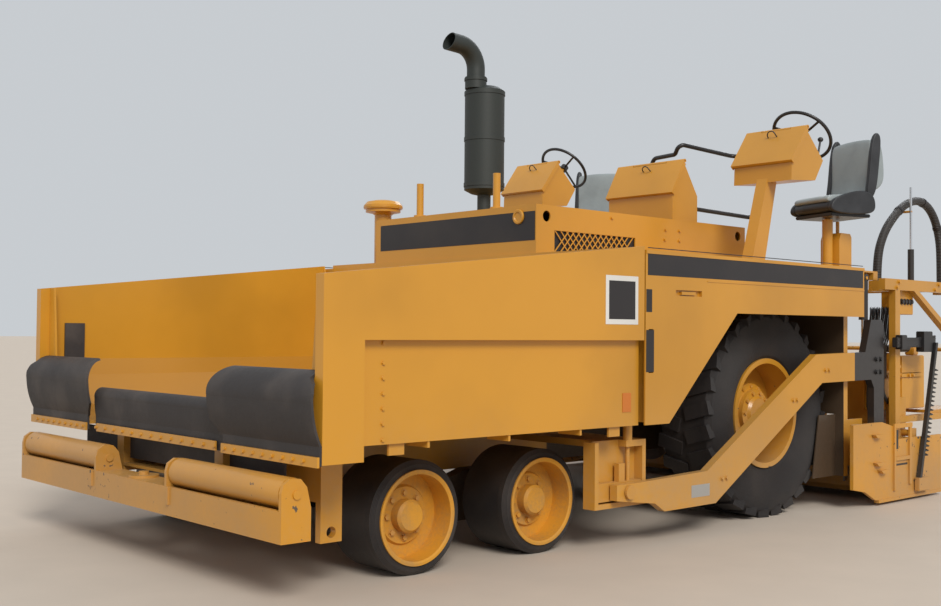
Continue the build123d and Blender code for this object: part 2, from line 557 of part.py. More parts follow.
# Bucket seats, built facing forward and turned on their posts as parked.
for name, side in SIDES:
    y = side * CONSOLE_Y
    half = SEAT_HALF_WIDTH
    with BuildPart() as seat:
        def seat_slab(points, y0, y1):
            # Points are (distance ahead of the post, height over the seat's pan).
            side_prism([(SEAT_STATION - ahead, SEAT_Z + up) for ahead, up in points], y0, y1)
        seat_slab([(135, 0), (135, 20), (-220, 20), (-220, 0)], y - half + 30, y + half - 30)
        cushion = [(160, 20), (168, 70), (140, 112), (-40, 126), (-190, 132), (-235, 110), (-245, 40), (-235, 20)]
        seat_slab(cushion, y - half + 36, y + half - 36)
        bolster = [(158, 20), (160, 84), (96, 124), (-60, 168), (-150, 170), (-232, 130), (-245, 40), (-235, 20)]
        backrest = [
            (-185, 110), (-240, 100), (-300, 190), (-345, 262), (-310, 420), (-262, 575), (-215, 590), (-180, 570),
            (-195, 400), (-212, 240),
        ]
        seat_slab(backrest, y - half + 30, y + half - 30)
        wing_pad = [(-150, 140), (-240, 100), (-262, 190), (-268, 420), (-238, 575), (-205, 592), (-165, 570), (-172, 400), (-190, 250)]
        for edge in (1, -1):
            seat_slab(bolster, y + edge * (half - 44), y + edge * half)
            seat_slab(wing_pad, y + edge * (half - 38), y + edge * half)
        stand_rod(SEAT_STATION, y, SEAT_Z - 1, SEAT_Z + 20, SEAT_PIN_R + RUN_CLEARANCE, mode=Mode.SUBTRACT)
    swivel = Axis((LIP_X - SEAT_STATION, y, 0), (0, 0, 1))
    save(seat.part.rotate(swivel, -side * SEAT_TURN), "seat_" + name)

# Hopper wings and their rubber flaps. The flap bulges forward and rolls back at its top.
FLAP_TOP_Z = 1022.0
for name, side in SIDES:
    with BuildPart() as wing:
        section = [
            (side * (WING_HINGE_Y + 24), 646), (side * 1270, 662), (side * PANEL_Y, 686), (side * PANEL_Y, LEDGE_Z),
            (side * HALF_WIDTH, LEDGE_Z), (side * HALF_WIDTH, WING_TOP_REAR_Z), (side * WING_INNER_Y, WING_TOP_REAR_Z),
            (side * WING_INNER_Y, 1000), (side * (WING_INNER_Y - 25), 900), (side * 1300, 725), (side * (WING_HINGE_Y + 24), 664),
        ]
        front_prism(section, 0, WING_REAR_STATION)
        block(0, POST_LENGTH, side * WING_INNER_Y, side * HALF_WIDTH, 621, WING_TOP_REAR_Z)
        gusset = [(side * (WING_INNER_Y - 115), 905), (side * WING_INNER_Y, 905), (side * WING_INNER_Y, WING_TOP_REAR_Z), (side * (WING_INNER_Y - 60), 1500)]
        front_prism(gusset, 56, 68)
        front_prism(gusset, WING_REAR_STATION - 12, WING_REAR_STATION)
        for station in (402, 1903):
            block(station, station + 90, side * (PANEL_Y - 30), side * (PANEL_Y - 18), 632, 700)
        for station in (620, 1140, 1660):
            block(station, station + 14, side * (PANEL_Y - 6), side * (PANEL_Y - 160), 655, 690)
        # The outer skin's top edge falls towards the front.
        cut = [(-10, WING_TOP_FRONT_Z), (BULKHEAD_STATION, WING_TOP_REAR_Z), (BULKHEAD_STATION, 1900), (-10, 1900)]
        side_prism(cut, side * 1300, side * 1600, mode=Mode.SUBTRACT)
        for station in (130, 1090):
            block(station, station + 880, side * (WING_HINGE_Y - 13), side * (WING_HINGE_Y + 52), 646, 664)
            rod((station, side * WING_HINGE_Y, WING_HINGE_Z), (station + 880, side * WING_HINGE_Y, WING_HINGE_Z), WING_TUBE_R)
        pin_bore = WING_PIN_R + RUN_CLEARANCE
        rod((0, side * WING_HINGE_Y, WING_HINGE_Z), (2130, side * WING_HINGE_Y, WING_HINGE_Z), pin_bore, mode=Mode.SUBTRACT)
        # Bolted strip that holds the flap's foot.
        block(-24, -FLAP_SHEET, side * (WING_HINGE_Y + 6), side * (HALF_WIDTH - 2), 612, 657)
    save(wing.part, "hopper_wing_" + name)
    with BuildPart() as flap:
        low_y = min(side * 650, side * (HALF_WIDTH - 2))
        with BuildSketch(Plane.XZ.offset(-low_y)) as sheet:
            with BuildLine():
                front_x, back_x = LIP_X + FLAP_SHEET, LIP_X
                Line((back_x, 618), (front_x, 618))
                Line((front_x, 618), (front_x, 700))
                ThreePointArc((front_x, 700), (LIP_X + 44, 785), (LIP_X + 58, 880))
                ThreePointArc((LIP_X + 58, 880), (LIP_X + 34, 975), (LIP_X - 50, FLAP_TOP_Z))
                Line((LIP_X - 50, FLAP_TOP_Z), (LIP_X - 50, FLAP_TOP_Z - FLAP_SHEET))
                ThreePointArc((LIP_X - 50, FLAP_TOP_Z - FLAP_SHEET), (LIP_X + 24, 966), (LIP_X + 46, 880))
                ThreePointArc((LIP_X + 46, 880), (LIP_X + 32, 787), (back_x, 700))
                Line((back_x, 700), (back_x, 618))
            make_face()
        extrude(sheet.sketch, amount=-(HALF_WIDTH - 2 - 650))
        with BuildSketch(Plane.YZ.offset(LIP_X - 60)) as lobe:
            with BuildLine():
                Polyline(
                    (side * (WING_HINGE_Y + 6), 610), (side * (HALF_WIDTH - 2), 610), (side * (HALF_WIDTH - 2), 925),
                    (side * (HALF_WIDTH - 22), 965), (side * (WING_INNER_Y - 8), 990), (side * (WING_INNER_Y - 8), 1040),
                    (side * 816, 1040),
                )
                ThreePointArc((side * 816, 1040), (side * 713, 997), (side * 671, 895))
                Polyline((side * 671, 895), (side * 671, 770), (side * (WING_HINGE_Y + 6), 690), (side * (WING_HINGE_Y + 6), 610))
            make_face()
        extrude(lobe.sketch, amount=140, mode=Mode.INTERSECT)
        block(154, 281, side * (WING_INNER_Y - FLAP_SHEET), side * WING_INNER_Y, 1003, 1225)
    save(flap.part, "wing_flap_" + name)

# Hopper apron: the fixed rubber sheet between the wings, and the dark curtain below the lip.
with BuildPart() as hopper_apron:
    with BuildSketch(Plane.XZ.offset(706)) as sheet:
        with BuildLine():
            Line((LIP_X - 28, 612), (LIP_X - 16, 612))
            Line((LIP_X - 16, 612), (LIP_X - 16, 690))
            ThreePointArc((LIP_X - 16, 690), (LIP_X - 8, 750), (LIP_X - 6, 800))
            ThreePointArc((LIP_X - 6, 800), (LIP_X - 16, 840), (LIP_X - 52, 858))
            Line((LIP_X - 52, 858), (LIP_X - 52, 846))
            ThreePointArc((LIP_X - 52, 846), (LIP_X - 26, 832), (LIP_X - 18, 800))
            ThreePointArc((LIP_X - 18, 800), (LIP_X - 20, 752), (LIP_X - 28, 690))
            Line((LIP_X - 28, 690), (LIP_X - 28, 612))
        make_face()
    extrude(sheet.sketch, amount=-1412)
    block(128, 138, -RAIL_INNER_Y + 1, RAIL_INNER_Y - 1, 470, FLOOR_Z)
    for side in (1, -1):
        block(128, 138, side * (RAIL_OUTER_Y + 1), side * 1070, 470, 620)
        block(128, 138, side * (RAIL_OUTER_Y + 1), side * 715, 620, FLOOR_Z)
save(hopper_apron.part, "hopper_apron")

# Push beam: plated box with end caps, cheeks for the two rollers and the truck hitch on top.
with BuildPart() as push_beam:
    block(-122, -102, -BEAM_HALF_WIDTH, BEAM_HALF_WIDTH, BEAM_LOW_Z, BEAM_TOP_Z)
    block(-122, 30, -BEAM_HALF_WIDTH, BEAM_HALF_WIDTH, BEAM_LOW_Z, BEAM_LOW_Z + 15)
    block(15, 30, -BEAM_HALF_WIDTH, BEAM_HALF_WIDTH, BEAM_LOW_Z, BEAM_TOP_Z)
    block(-122, 30, -ROLLER_INNER_Y + 10, ROLLER_INNER_Y - 10, BEAM_TOP_Z - 20, BEAM_TOP_Z)
    for side in (1, -1):
        cap = [
            (-122, BEAM_LOW_Z), (30, BEAM_LOW_Z), (30, BEAM_TOP_Z + 4), (8, 520), (-24, 556), (-76, 560), (-112, 536), (-122, 500),
        ]
        side_prism(cap, side * (BEAM_HALF_WIDTH - BEAM_CHEEK), side * BEAM_HALF_WIDTH)
        cheek = [
            (-122, BEAM_TOP_Z - 20), (30, BEAM_TOP_Z - 20), (30, BEAM_TOP_Z + 4), (8, 520), (-24, 556), (-76, 560), (-112, 536), (-122, 500),
        ]
        side_prism(cheek, side * (ROLLER_INNER_Y - 30), side * (ROLLER_INNER_Y - 10))
        cross_rod(ROLLER_STATION, ROLLER_Z, side * 1310, side * (BEAM_HALF_WIDTH + 8), ROLLER_PIN_R)
        cross_rod(ROLLER_STATION, ROLLER_Z, side * (ROLLER_INNER_Y - 38), side * 500, ROLLER_PIN_R)
        block(-FRONT_REACH, -122, side * (ROLLER_INNER_Y + 4), side * (ROLLER_INNER_Y + 24), 340, BEAM_TOP_Z)
    stand_rod(-36, 0, BEAM_TOP_Z, BEAM_TOP_Z + 12, 78)
    stand_rod(-36, 0, BEAM_TOP_Z, BEAM_TOP_Z + 30, 26)
    stand_rod(BEAM_PIVOT_STATION, 0, 300, 390, 60)
    block(29, BEAM_PIVOT_STATION, -60, 60, 300, 390)
    stand_rod(BEAM_PIVOT_STATION, 0, 250, 450, BEAM_PIVOT_R + RUN_CLEARANCE, mode=Mode.SUBTRACT)
save(push_beam.part, "push_beam")
with BuildPart() as beam_pivot:
    stand_rod(BEAM_PIVOT_STATION, 0, 290, 430, BEAM_PIVOT_R)
    stand_rod(BEAM_PIVOT_STATION, 0, 278, 290, BEAM_PIVOT_R + 14)
    block(BEAM_PIVOT_STATION - 40, 239, -80, 80, 406, 430)
save(beam_pivot.part, "beam_pivot")
for name, side in SIDES:
    with BuildPart() as push_roller:
        outer_end = BEAM_HALF_WIDTH - BEAM_CHEEK - 15
        cross_rod(ROLLER_STATION, ROLLER_Z, side * ROLLER_INNER_Y, side * outer_end, ROLLER_R)
        bore = ROLLER_PIN_R + RUN_CLEARANCE
        cross_rod(ROLLER_STATION, ROLLER_Z, side * (ROLLER_INNER_Y - 20), side * 506, bore, mode=Mode.SUBTRACT)
        cross_rod(ROLLER_STATION, ROLLER_Z, side * 1304, side * (outer_end + 5), bore, mode=Mode.SUBTRACT)
    save(push_roller.part, "push_roller_" + name)

# Front wheels on their knuckles, numbered from the front.
for name, side in SIDES:
    for number, station in enumerate(FRONT_WHEEL_STATIONS, 1):
        with BuildPart() as knuckle:
            pin_y = side * KINGPIN_Y
            stand_rod(station, pin_y, BOGIE_LOW_Z + BOGIE_PAD + 6, BOGIE_TOP_Z - BOGIE_PAD - 6, KINGPIN_BOSS_R)
            cross_rod(station, FRONT_TYRE_R, pin_y, side * (FRONT_WHEEL_Y + 64.5), SPINDLE_R)
            block(station, station + 120, side * (KINGPIN_Y - 30), side * (KINGPIN_Y - 10), FRONT_TYRE_R - 12, FRONT_TYRE_R + 12)
            stand_rod(station, pin_y, BOGIE_LOW_Z - 20, BOGIE_TOP_Z + 20, KINGPIN_R + RUN_CLEARANCE, mode=Mode.SUBTRACT)
        save(knuckle.part, "knuckle_" + name + "_" + str(number))
        with BuildPart() as front_wheel:
            half = FRONT_TYRE_WIDTH / 2
            rim = FRONT_RIM_R
            tyre = FRONT_TYRE_R
            bore = SPINDLE_R + RUN_CLEARANCE
            profile = [
                (0, 130), (68, 130), (82, 116), (82, 64), (140, 64), (150, 50), (rim - 16, 50), (rim - 16, half - 4),
                (rim - 6, half), (rim + 6, half), (rim + 6, half - 8), (tyre - 20, half - 8), (tyre, half - 28),
                (tyre, 28 - half), (tyre - 20, 8 - half), (rim + 6, 8 - half), (rim + 6, -half), (rim - 16, 4 - half),
                (rim - 16, 20), (60, 20), (60, 15 - half), (bore, 15 - half), (bore, 70.5), (0, 70.5),
            ]
            turned(profile, station, FRONT_TYRE_R, FRONT_WHEEL_Y, side)
        save(front_wheel.part, "front_wheel_" + name + "_" + str(number))

# Rear wheels: dished rims with the planetary hub, and tyres with two rows of skewed lugs.
for name, side in SIDES:
    with BuildPart() as rear_rim:
        rim = REAR_RIM_R
        bead = REAR_TYRE_WIDTH / 2 - 55
        bore = REAR_SPINDLE_R + RUN_CLEARANCE
        profile = [
            (0, 118), (92, 118), (108, 100), (150, 92), (150, 60), (190, 48), (190, -8), (rim - 20, -22), (rim - 20, bead + 16),
            (rim + 13, bead + 16), (rim + 13, bead), (rim, bead), (rim, -bead), (rim + 13, -bead), (rim + 13, -bead - 16),
            (rim - 20, -bead - 16), (rim - 20, -44), (140, -44), (140, -230), (bore, -230), (bore, 66), (0, 66),
        ]
        turned(profile, REAR_WHEEL_STATION, REAR_TYRE_R, REAR_WHEEL_Y, side)
    save(rear_rim.part, "rear_rim_" + name)

LUG_SPAN = 88.0
with BuildPart() as rear_tyre:
    rim = REAR_RIM_R
    wide = REAR_TYRE_WIDTH / 2
    bead = wide - 55
    tread = REAR_TYRE_R - LUG_HEIGHT
    waist = (rim + tread) / 2
    axle = Plane(origin=(LIP_X - REAR_WHEEL_STATION, REAR_WHEEL_Y, REAR_TYRE_R), x_dir=(0, 1, 0), z_dir=(1, 0, 0))
    with BuildSketch(axle) as carcass:
        with BuildLine():
            Polyline((-wide + 37, rim + 33), (-bead, rim + 17), (-bead, rim), (bead, rim), (bead, rim + 17), (wide - 37, rim + 33))
            ThreePointArc((wide - 37, rim + 33), (wide, waist), (wide - 19, tread - 31))
            Polyline((wide - 19, tread - 31), (wide - 50, tread), (-wide + 50, tread), (-wide + 19, tread - 31))
            ThreePointArc((-wide + 19, tread - 31), (-wide, waist), (-wide + 37, rim + 33))
        make_face()
    hub_line = Axis((LIP_X - REAR_WHEEL_STATION, REAR_WHEEL_Y, REAR_TYRE_R), (0, 1, 0))
    revolve(carcass.sketch, axis=hub_line)
    lug_top = (REAR_TYRE_R**2 - (LUG_SPAN / 2) ** 2) ** 0.5
    lug_depth = LUG_HEIGHT + 40
    seats = []
    for row in (1, -1):
        for number in range(LUG_COUNT):
            turn = radians((number + 0.25 * row) * 360 / LUG_COUNT)
            out = Vector(cos(turn), 0, sin(turn))
            along = Vector(-sin(turn), 0, cos(turn))
            skew = (Vector(0, 1, 0) * row + along * 0.28).normalized()
            middle = Vector(LIP_X - REAR_WHEEL_STATION, REAR_WHEEL_Y + row * (wide / 2 + 1), REAR_TYRE_R)
            seats.append(Plane(origin=middle + out * (lug_top - lug_depth / 2), x_dir=skew, z_dir=out))
    with Locations(*seats):
        Box(wide - 32, LUG_SPAN, lug_depth)
save(rear_tyre.part, "rear_tyre_left")
save(mirror(rear_tyre.part, about=Plane.XZ), "rear_tyre_right")

# Tow points: blocks that slide in the frame's guides, with the pin that pulls the arm.
for name, side in SIDES:
    with BuildPart() as tow_point:
        block(1906, 2264, side * (GUIDE_INNER_Y + 31), side * (GUIDE_OUTER_Y - 6), 270, 370)
        block(2075, 2125, side * (GUIDE_INNER_Y + 45), side * (GUIDE_OUTER_Y - 6), 369, 470)
        cross_rod(TOW_PIN_STATION, TOW_PIN_Z, side * (GUIDE_OUTER_Y - 24), side * (TOW_ARM_OUTER_Y + 20), TOW_PIN_R)
        cross_rod(TOW_PIN_STATION, TOW_PIN_Z, side * (TOW_ARM_OUTER_Y + 6), side * (TOW_ARM_OUTER_Y + 20), TOW_PIN_R + 16)
        stand_rod(TOW_ROD_STATION, side * (TOW_ARM_INNER_Y - 32), 369, 575, TOW_ROD_R)
    save(tow_point.part, "tow_point_" + name)

ARM = [
    (4870, 1300), (4720, 1300), (4640, 1072), (4002, 1060), (2803, 382), (2183, 364), (1988, 364), (1988, 278), (2315, 236), (2403, 183), (2888, 185),
    (4076, 870), (4720, 878), (4760, 820), (4760, 260), (SCREED_FRONT_STATION, 260), (SCREED_FRONT_STATION, 1260),
]
with BuildPart() as tow_arms:
    for side in (1, -1):
        side_prism(ARM, side * TOW_ARM_INNER_Y, side * TOW_ARM_OUTER_Y)
        cross_rod(LIFT_STATION, LIFT_EYE_Z, side * (TOW_ARM_INNER_Y - 14), side * TOW_ARM_INNER_Y, 26)
        bore_r = TOW_PIN_R + RUN_CLEARANCE
        cross_rod(TOW_PIN_STATION, TOW_PIN_Z, side * (TOW_ARM_INNER_Y - 30), side * (TOW_ARM_OUTER_Y + 20), bore_r, mode=Mode.SUBTRACT)
save(tow_arms.part, "tow_arms")

# Screed lift cylinders: barrels hung from the rear plate, and their rods.
for name, side in SIDES:
    y0, y1 = side * (LIFT_Y - LIFT_BARREL_R), side * (LIFT_Y + LIFT_BARREL_R)
    rod_y = side * LIFT_Y
    gland_z = LIFT_TOP_Z - LIFT_BARREL_LENGTH
    with BuildPart() as barrel:
        stand_rod(LIFT_STATION, rod_y, gland_z, LIFT_TOP_Z - 14, LIFT_BARREL_R)
        cross_rod(LIFT_STATION, LIFT_TOP_Z, side * (LIFT_Y - 26), side * (LIFT_Y + 26), LIFT_EYE_R)
        cross_rod(LIFT_STATION, LIFT_TOP_Z, y0, y1, LIFT_PIN_R + RUN_CLEARANCE, mode=Mode.SUBTRACT)
        stand_rod(LIFT_STATION, rod_y, gland_z - 1, LIFT_TOP_Z - 34, LIFT_ROD_R + RUN_CLEARANCE, mode=Mode.SUBTRACT)
    save(barrel.part, "lift_barrel_" + name)
    with BuildPart() as lift_rod:
        stand_rod(LIFT_STATION, rod_y, LIFT_EYE_Z, gland_z + 35, LIFT_ROD_R)
        cross_rod(LIFT_STATION, LIFT_EYE_Z, side * (LIFT_Y - 28), side * (LIFT_Y + 32), LIFT_EYE_R)
    save(lift_rod.part, "lift_rod_" + name)

# Screed with its top frame, walkway, side guard frames, control boxes and hose mast.
SCREED_REAR_STATION = SCREED_FRONT_STATION + SCREED_DEPTH
GUARD_Y = SCREED_HALF_WIDTH - 50
GUIDE_STATION = EXTENSION_STATION + 28
GUIDE_Z = 470.0
with BuildPart() as screed:
    profile = [
        (SCREED_FRONT_STATION, 450), (SCREED_FRONT_STATION, 90), (SCREED_FRONT_STATION + 41, 50), (SCREED_REAR_STATION, 50),
        (SCREED_REAR_STATION, 420), (SCREED_REAR_STATION - 60, 450),
    ]
    side_prism(profile, -SCREED_HALF_WIDTH, SCREED_HALF_WIDTH)
    inside = [
        (SCREED_FRONT_STATION + SCREED_SHEET, 450 - SCREED_SHEET), (SCREED_FRONT_STATION + SCREED_SHEET, 100),
        (SCREED_FRONT_STATION + 50, 50 + SCREED_SHEET), (SCREED_REAR_STATION - SCREED_SHEET, 50 + SCREED_SHEET),
        (SCREED_REAR_STATION - SCREED_SHEET, 410), (SCREED_REAR_STATION - 70, 450 - SCREED_SHEET),
    ]
    side_prism(inside, -SCREED_HALF_WIDTH + SCREED_SHEET, SCREED_HALF_WIDTH - SCREED_SHEET, mode=Mode.SUBTRACT)
    frame_front = SCREED_FRONT_STATION + 151
    block(frame_front, frame_front + 70, -SCREED_HALF_WIDTH, SCREED_HALF_WIDTH, 450, 520)
    for y in (-900, -300, 300, 900):
        block(frame_front + 69, SCREED_REAR_STATION - 62, y - 12, y + 12, 449, 520)
        rod((frame_front + 35, y, 519), (frame_front + 35, y, 640), 18)
    guard_rear = REAR_STATION - 60
    for side in (1, -1):
        guard0, guard1 = side * GUARD_Y, side * SCREED_HALF_WIDTH
        block(frame_front, frame_front + 70, guard0, guard1, 519, GUARD_TOP_Z)
        block(frame_front - 150, guard_rear, guard0, guard1, GUARD_TOP_Z - 80, GUARD_TOP_Z)
        block(guard_rear - 60, guard_rear, guard0, guard1, WALK_Z, GUARD_TOP_Z)
        brace = [(5332, GUARD_TOP_Z - 80), (5410, GUARD_TOP_Z - 80), (guard_rear - 59, 1100), (guard_rear - 59, 1045)]
        side_prism(brace, guard0, guard1)
        block(frame_front + 69, REAR_STATION, side * (GUARD_Y - 20), side * (SCREED_HALF_WIDTH - 10), WALK_Z - 45, WALK_Z)
        block(frame_front + 69, frame_front + 250, side * (GUARD_Y - 60), side * (GUARD_Y + 1), 519, 735)
        # Bearing of the extension's guide tube.
        block(SCREED_REAR_STATION - 50, GUIDE_STATION + 40, side * 1280, side * 1400, 420, 520)
        bore_r = GUIDE_R + RUN_CLEARANCE
        cross_rod(GUIDE_STATION, GUIDE_Z, side * 1270, side * 1410, bore_r, mode=Mode.SUBTRACT)
        rod((guard_rear - 30, 0, GUARD_TOP_Z - 40), (guard_rear - 30, side * GUARD_Y, GUARD_TOP_Z - 40), RAIL_PIPE_R)
        rod((guard_rear - 30, 0, 1080), (guard_rear - 30, side * GUARD_Y, 1080), RAIL_PIPE_R)
    block(EXTENSION_STATION + EXTENSION_DEPTH + 20, REAR_STATION, -SCREED_HALF_WIDTH + 40, SCREED_HALF_WIDTH - 40, WALK_Z, WALK_Z + 25)
    # Hose mast on a bracket of the left guard beam, with the hoses' lower box and rear outlet.
    mast_station = 5640.0
    mast_y = HOSE_Y + 60
    block(mast_station - 45, mast_station + 45, HOSE_Y - 45, GUARD_Y + 1, GUARD_TOP_Z - 60, GUARD_TOP_Z)
    stand_rod(mast_station, mast_y, GUARD_TOP_Z - 1, 1853, 22)
    stand_rod(mast_station, mast_y, 1840, 2333, 9)
    rod((mast_station, mast_y + 9, 2146), (mast_station, HOSE_Y - 30, 2146), 9)
    for hose_station in (HOSE_FRONT_STATION, HOSE_REAR_STATION):
        block(hose_station - 45, hose_station + 38, HOSE_Y - 45, GUARD_Y + 1, GUARD_TOP_Z - 80, GUARD_TOP_Z)
    # Screed's inner boxes: burner box on the left and pump box in the middle.
    for side in (1, -1):
        block(5120, 5225, side * 980, side * 1330, 519, 900)
        block(5120, 5225, side * 250, side * 640, 519, 1010)
save(screed.part, "screed")

HOSE_ROUTE = [
    (HOSE_FRONT_STATION, GUARD_TOP_Z), (HOSE_FRONT_STATION, 1790), (5340, 1975), (5480, 2095), (5650, 2205), (5860, 2262),
    (6040, 2225), (6160, 2130), (6235, 1990), (HOSE_REAR_STATION, 1840), (HOSE_REAR_STATION, GUARD_TOP_Z),
]
with BuildPart() as hose:
    corners = [Vector(LIP_X - s, HOSE_Y, z) for s, z in HOSE_ROUTE]
    radii = []
    for before, corner, after in zip(corners, corners[1:], corners[2:]):
        turn = radians((corner - before).get_angle(after - corner))
        radii.append(0.45 * min((corner - before).length, (after - corner).length) / (sin(turn / 2) / cos(turn / 2)))
    with BuildLine() as route:
        FilletPolyline(*corners, radius=radii)
    path = route.wire()
    with BuildSketch(Plane(origin=path @ 0, z_dir=path % 0)) as section:
        Circle(HOSE_R)
    sweep(sections=section.sketch, path=path)
save(hose.part, "hose_arch")

# Sliding extensions with their guide tubes, and the end gates on their lift rods.
GATE_Y = SCREED_HALF_WIDTH + 30
GATE_ROD_Y = SCREED_HALF_WIDTH + 15
EXTENSION_END_Y = SCREED_HALF_WIDTH - 2
EXTENSION_REAR = EXTENSION_STATION + EXTENSION_DEPTH
for name, side in SIDES:
    with BuildPart() as extension:
        block(EXTENSION_STATION, EXTENSION_REAR, side * 10, side * EXTENSION_END_Y, 50, 380)
        inner = SCREED_SHEET
        block(
            EXTENSION_STATION + inner, EXTENSION_REAR - inner, side * (10 + inner), side * (EXTENSION_END_Y - inner),
            50 + inner, 380 - inner, mode=Mode.SUBTRACT,
        )
        for y0, y1 in ((30, 60), (EXTENSION_END_Y - 28, EXTENSION_END_Y)):
            block(GUIDE_STATION - 28, GUIDE_STATION + 40, side * y0, side * y1, 379, 505)
        cross_rod(GUIDE_STATION, GUIDE_Z, side * 40, side * (EXTENSION_END_Y - 10), GUIDE_R)
        for station in (EXTENSION_STATION + 100, EXTENSION_STATION + 260):
            block(station - 22, station + 22, side * (EXTENSION_END_Y - 1), side * (GATE_Y - 6), 250, 300)
            stand_rod(station, side * GATE_ROD_Y, 240, 310, GATE_ROD_R + RUN_CLEARANCE, mode=Mode.SUBTRACT)
    save(extension.part, "screed_extension_" + name)
    with BuildPart() as end_gate:
        gate = [
            (4361, 579), (4361, 139), (4521, 111), (4658, 44), (4826, 30), (EXTENSION_REAR, 30), (EXTENSION_REAR, 450),
            (4948, 450), (4948, 536), (4755, 581),
        ]
        side_prism(gate, side * GATE_Y, side * (GATE_Y + GATE_SHEET))
        block(4700, EXTENSION_REAR, side * (GATE_Y - 8), side * (GATE_Y + GATE_SHEET + 5), 20, 42)
        for station in (EXTENSION_STATION + 100, EXTENSION_STATION + 260):
            for z in (62, 410):
                block(station - 18, station + 18, side * (GATE_ROD_Y - 12), side * (GATE_Y + 1), z, z + 20)
            stand_rod(station, side * GATE_ROD_Y, 63, 429, GATE_ROD_R)
        block(4470, 4500, side * (GATE_Y - 7), side * (GATE_Y + 1), 160, 560)
    save(end_gate.part, "end_gate_" + name)

# Augers: a left and a right hand flight, wound round a tube that turns on the hanger pins.
for name, side in SIDES:
    with BuildPart() as auger:
        cross_rod(AUGER_STATION, AUGER_Z, side * 70, side * 1376, AUGER_TUBE_R)
        turns_start, turns_end = 130.0, 1290.0
        centre_point = Vector(LIP_X - AUGER_STATION, side * turns_start, AUGER_Z)
        with BuildLine() as flight_path:
            Helix(AUGER_PITCH, turns_end - turns_start, AUGER_TUBE_R - 6, centre_point, (0, side, 0), lefthand=side > 0)
        flight_start = flight_path.line @ 0
        out = flight_start - centre_point
        with BuildSketch(Plane(origin=flight_start, x_dir=out, z_dir=out.cross(Vector(0, 1, 0)))) as flight_section:
            with Locations(((AUGER_R - AUGER_TUBE_R + 6) / 2, 0)):
                Rectangle(AUGER_R - AUGER_TUBE_R + 6, 12)
        sweep(sections=flight_section.sketch, path=flight_path.line, is_frenet=True)
        bore = AUGER_PIN_R + RUN_CLEARANCE
        cross_rod(AUGER_STATION, AUGER_Z, side * 60, side * 136, bore, mode=Mode.SUBTRACT)
        cross_rod(AUGER_STATION, AUGER_Z, side * 1294, side * 1380, bore, mode=Mode.SUBTRACT)
    save(auger.part, "auger_" + name)
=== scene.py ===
from math import cos, pi, radians, sin

import bmesh
import bpy
from mathutils import Matrix, Vector


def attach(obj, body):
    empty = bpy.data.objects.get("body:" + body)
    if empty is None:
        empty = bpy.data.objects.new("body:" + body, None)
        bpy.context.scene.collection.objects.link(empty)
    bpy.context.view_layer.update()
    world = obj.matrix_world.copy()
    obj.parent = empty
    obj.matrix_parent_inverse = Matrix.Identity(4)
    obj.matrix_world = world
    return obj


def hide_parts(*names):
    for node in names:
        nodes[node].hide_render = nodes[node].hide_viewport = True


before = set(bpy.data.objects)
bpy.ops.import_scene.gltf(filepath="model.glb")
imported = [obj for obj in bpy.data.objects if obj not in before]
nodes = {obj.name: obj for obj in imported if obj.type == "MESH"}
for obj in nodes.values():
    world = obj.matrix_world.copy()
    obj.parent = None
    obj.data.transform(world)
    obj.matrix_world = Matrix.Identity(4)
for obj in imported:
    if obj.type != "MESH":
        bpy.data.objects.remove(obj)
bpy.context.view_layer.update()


# Camera
# It stands 1.2 m above the ground, ahead of the left front corner and below the wing's top
# edge. It looks along the left side, tipped up a little and turned by half a degree.
CAMERA_SPOT = (5.88244, 5.55448, 1.19494)
FOCAL_PIXELS, PICTURE_PIXELS, SENSOR_WIDTH = 1144.65, 941, 36
yaw, pitch, roll = radians(47.75126), radians(1.41046), radians(0.48536)
look = Vector((-cos(yaw) * cos(pitch), -sin(yaw) * cos(pitch), sin(pitch)))
level = look.cross(Vector((0, 0, 1))).normalized()
upward = level.cross(look)
right = level * cos(roll) + upward * sin(roll)
top = upward * cos(roll) - level * sin(roll)
aim = Matrix((right, top, -look)).transposed().to_4x4()
camera_data = bpy.data.cameras.new("camera")
camera_data.sensor_width = SENSOR_WIDTH
camera_data.lens = SENSOR_WIDTH * FOCAL_PIXELS / PICTURE_PIXELS
camera_data.clip_end = 400
camera = bpy.data.objects.new("camera", camera_data)
camera.matrix_world = Matrix.Translation(CAMERA_SPOT) @ aim
bpy.context.scene.collection.objects.link(camera)
bpy.context.scene.camera = camera
bpy.context.scene.view_settings.view_transform = "Standard"


# Floor and light
# A pale packed-sand floor that runs on to the horizon under a pale even sky,
# one broad soft lamp high on the left and a weaker one behind on the right.
FLOOR_REACH = 150


class Wire:
    """One output of a finish's nodes. Sums on it add Math nodes."""

    def __init__(self, finish, socket):
        self.finish, self.socket = finish, socket

    def math(self, operation, *others):
        values = dict(enumerate((self,) + others))
        return self.finish.node("ShaderNodeMath", {"operation": operation}, values)

    def __add__(self, other):
        return self.math("ADD", other)

    def __sub__(self, other):
        return self.math("SUBTRACT", other)

    def __mul__(self, other):
        return self.math("MULTIPLY", other)

    def __rsub__(self, other):
        return (self * -1) + other

    __radd__, __rmul__ = __add__, __mul__


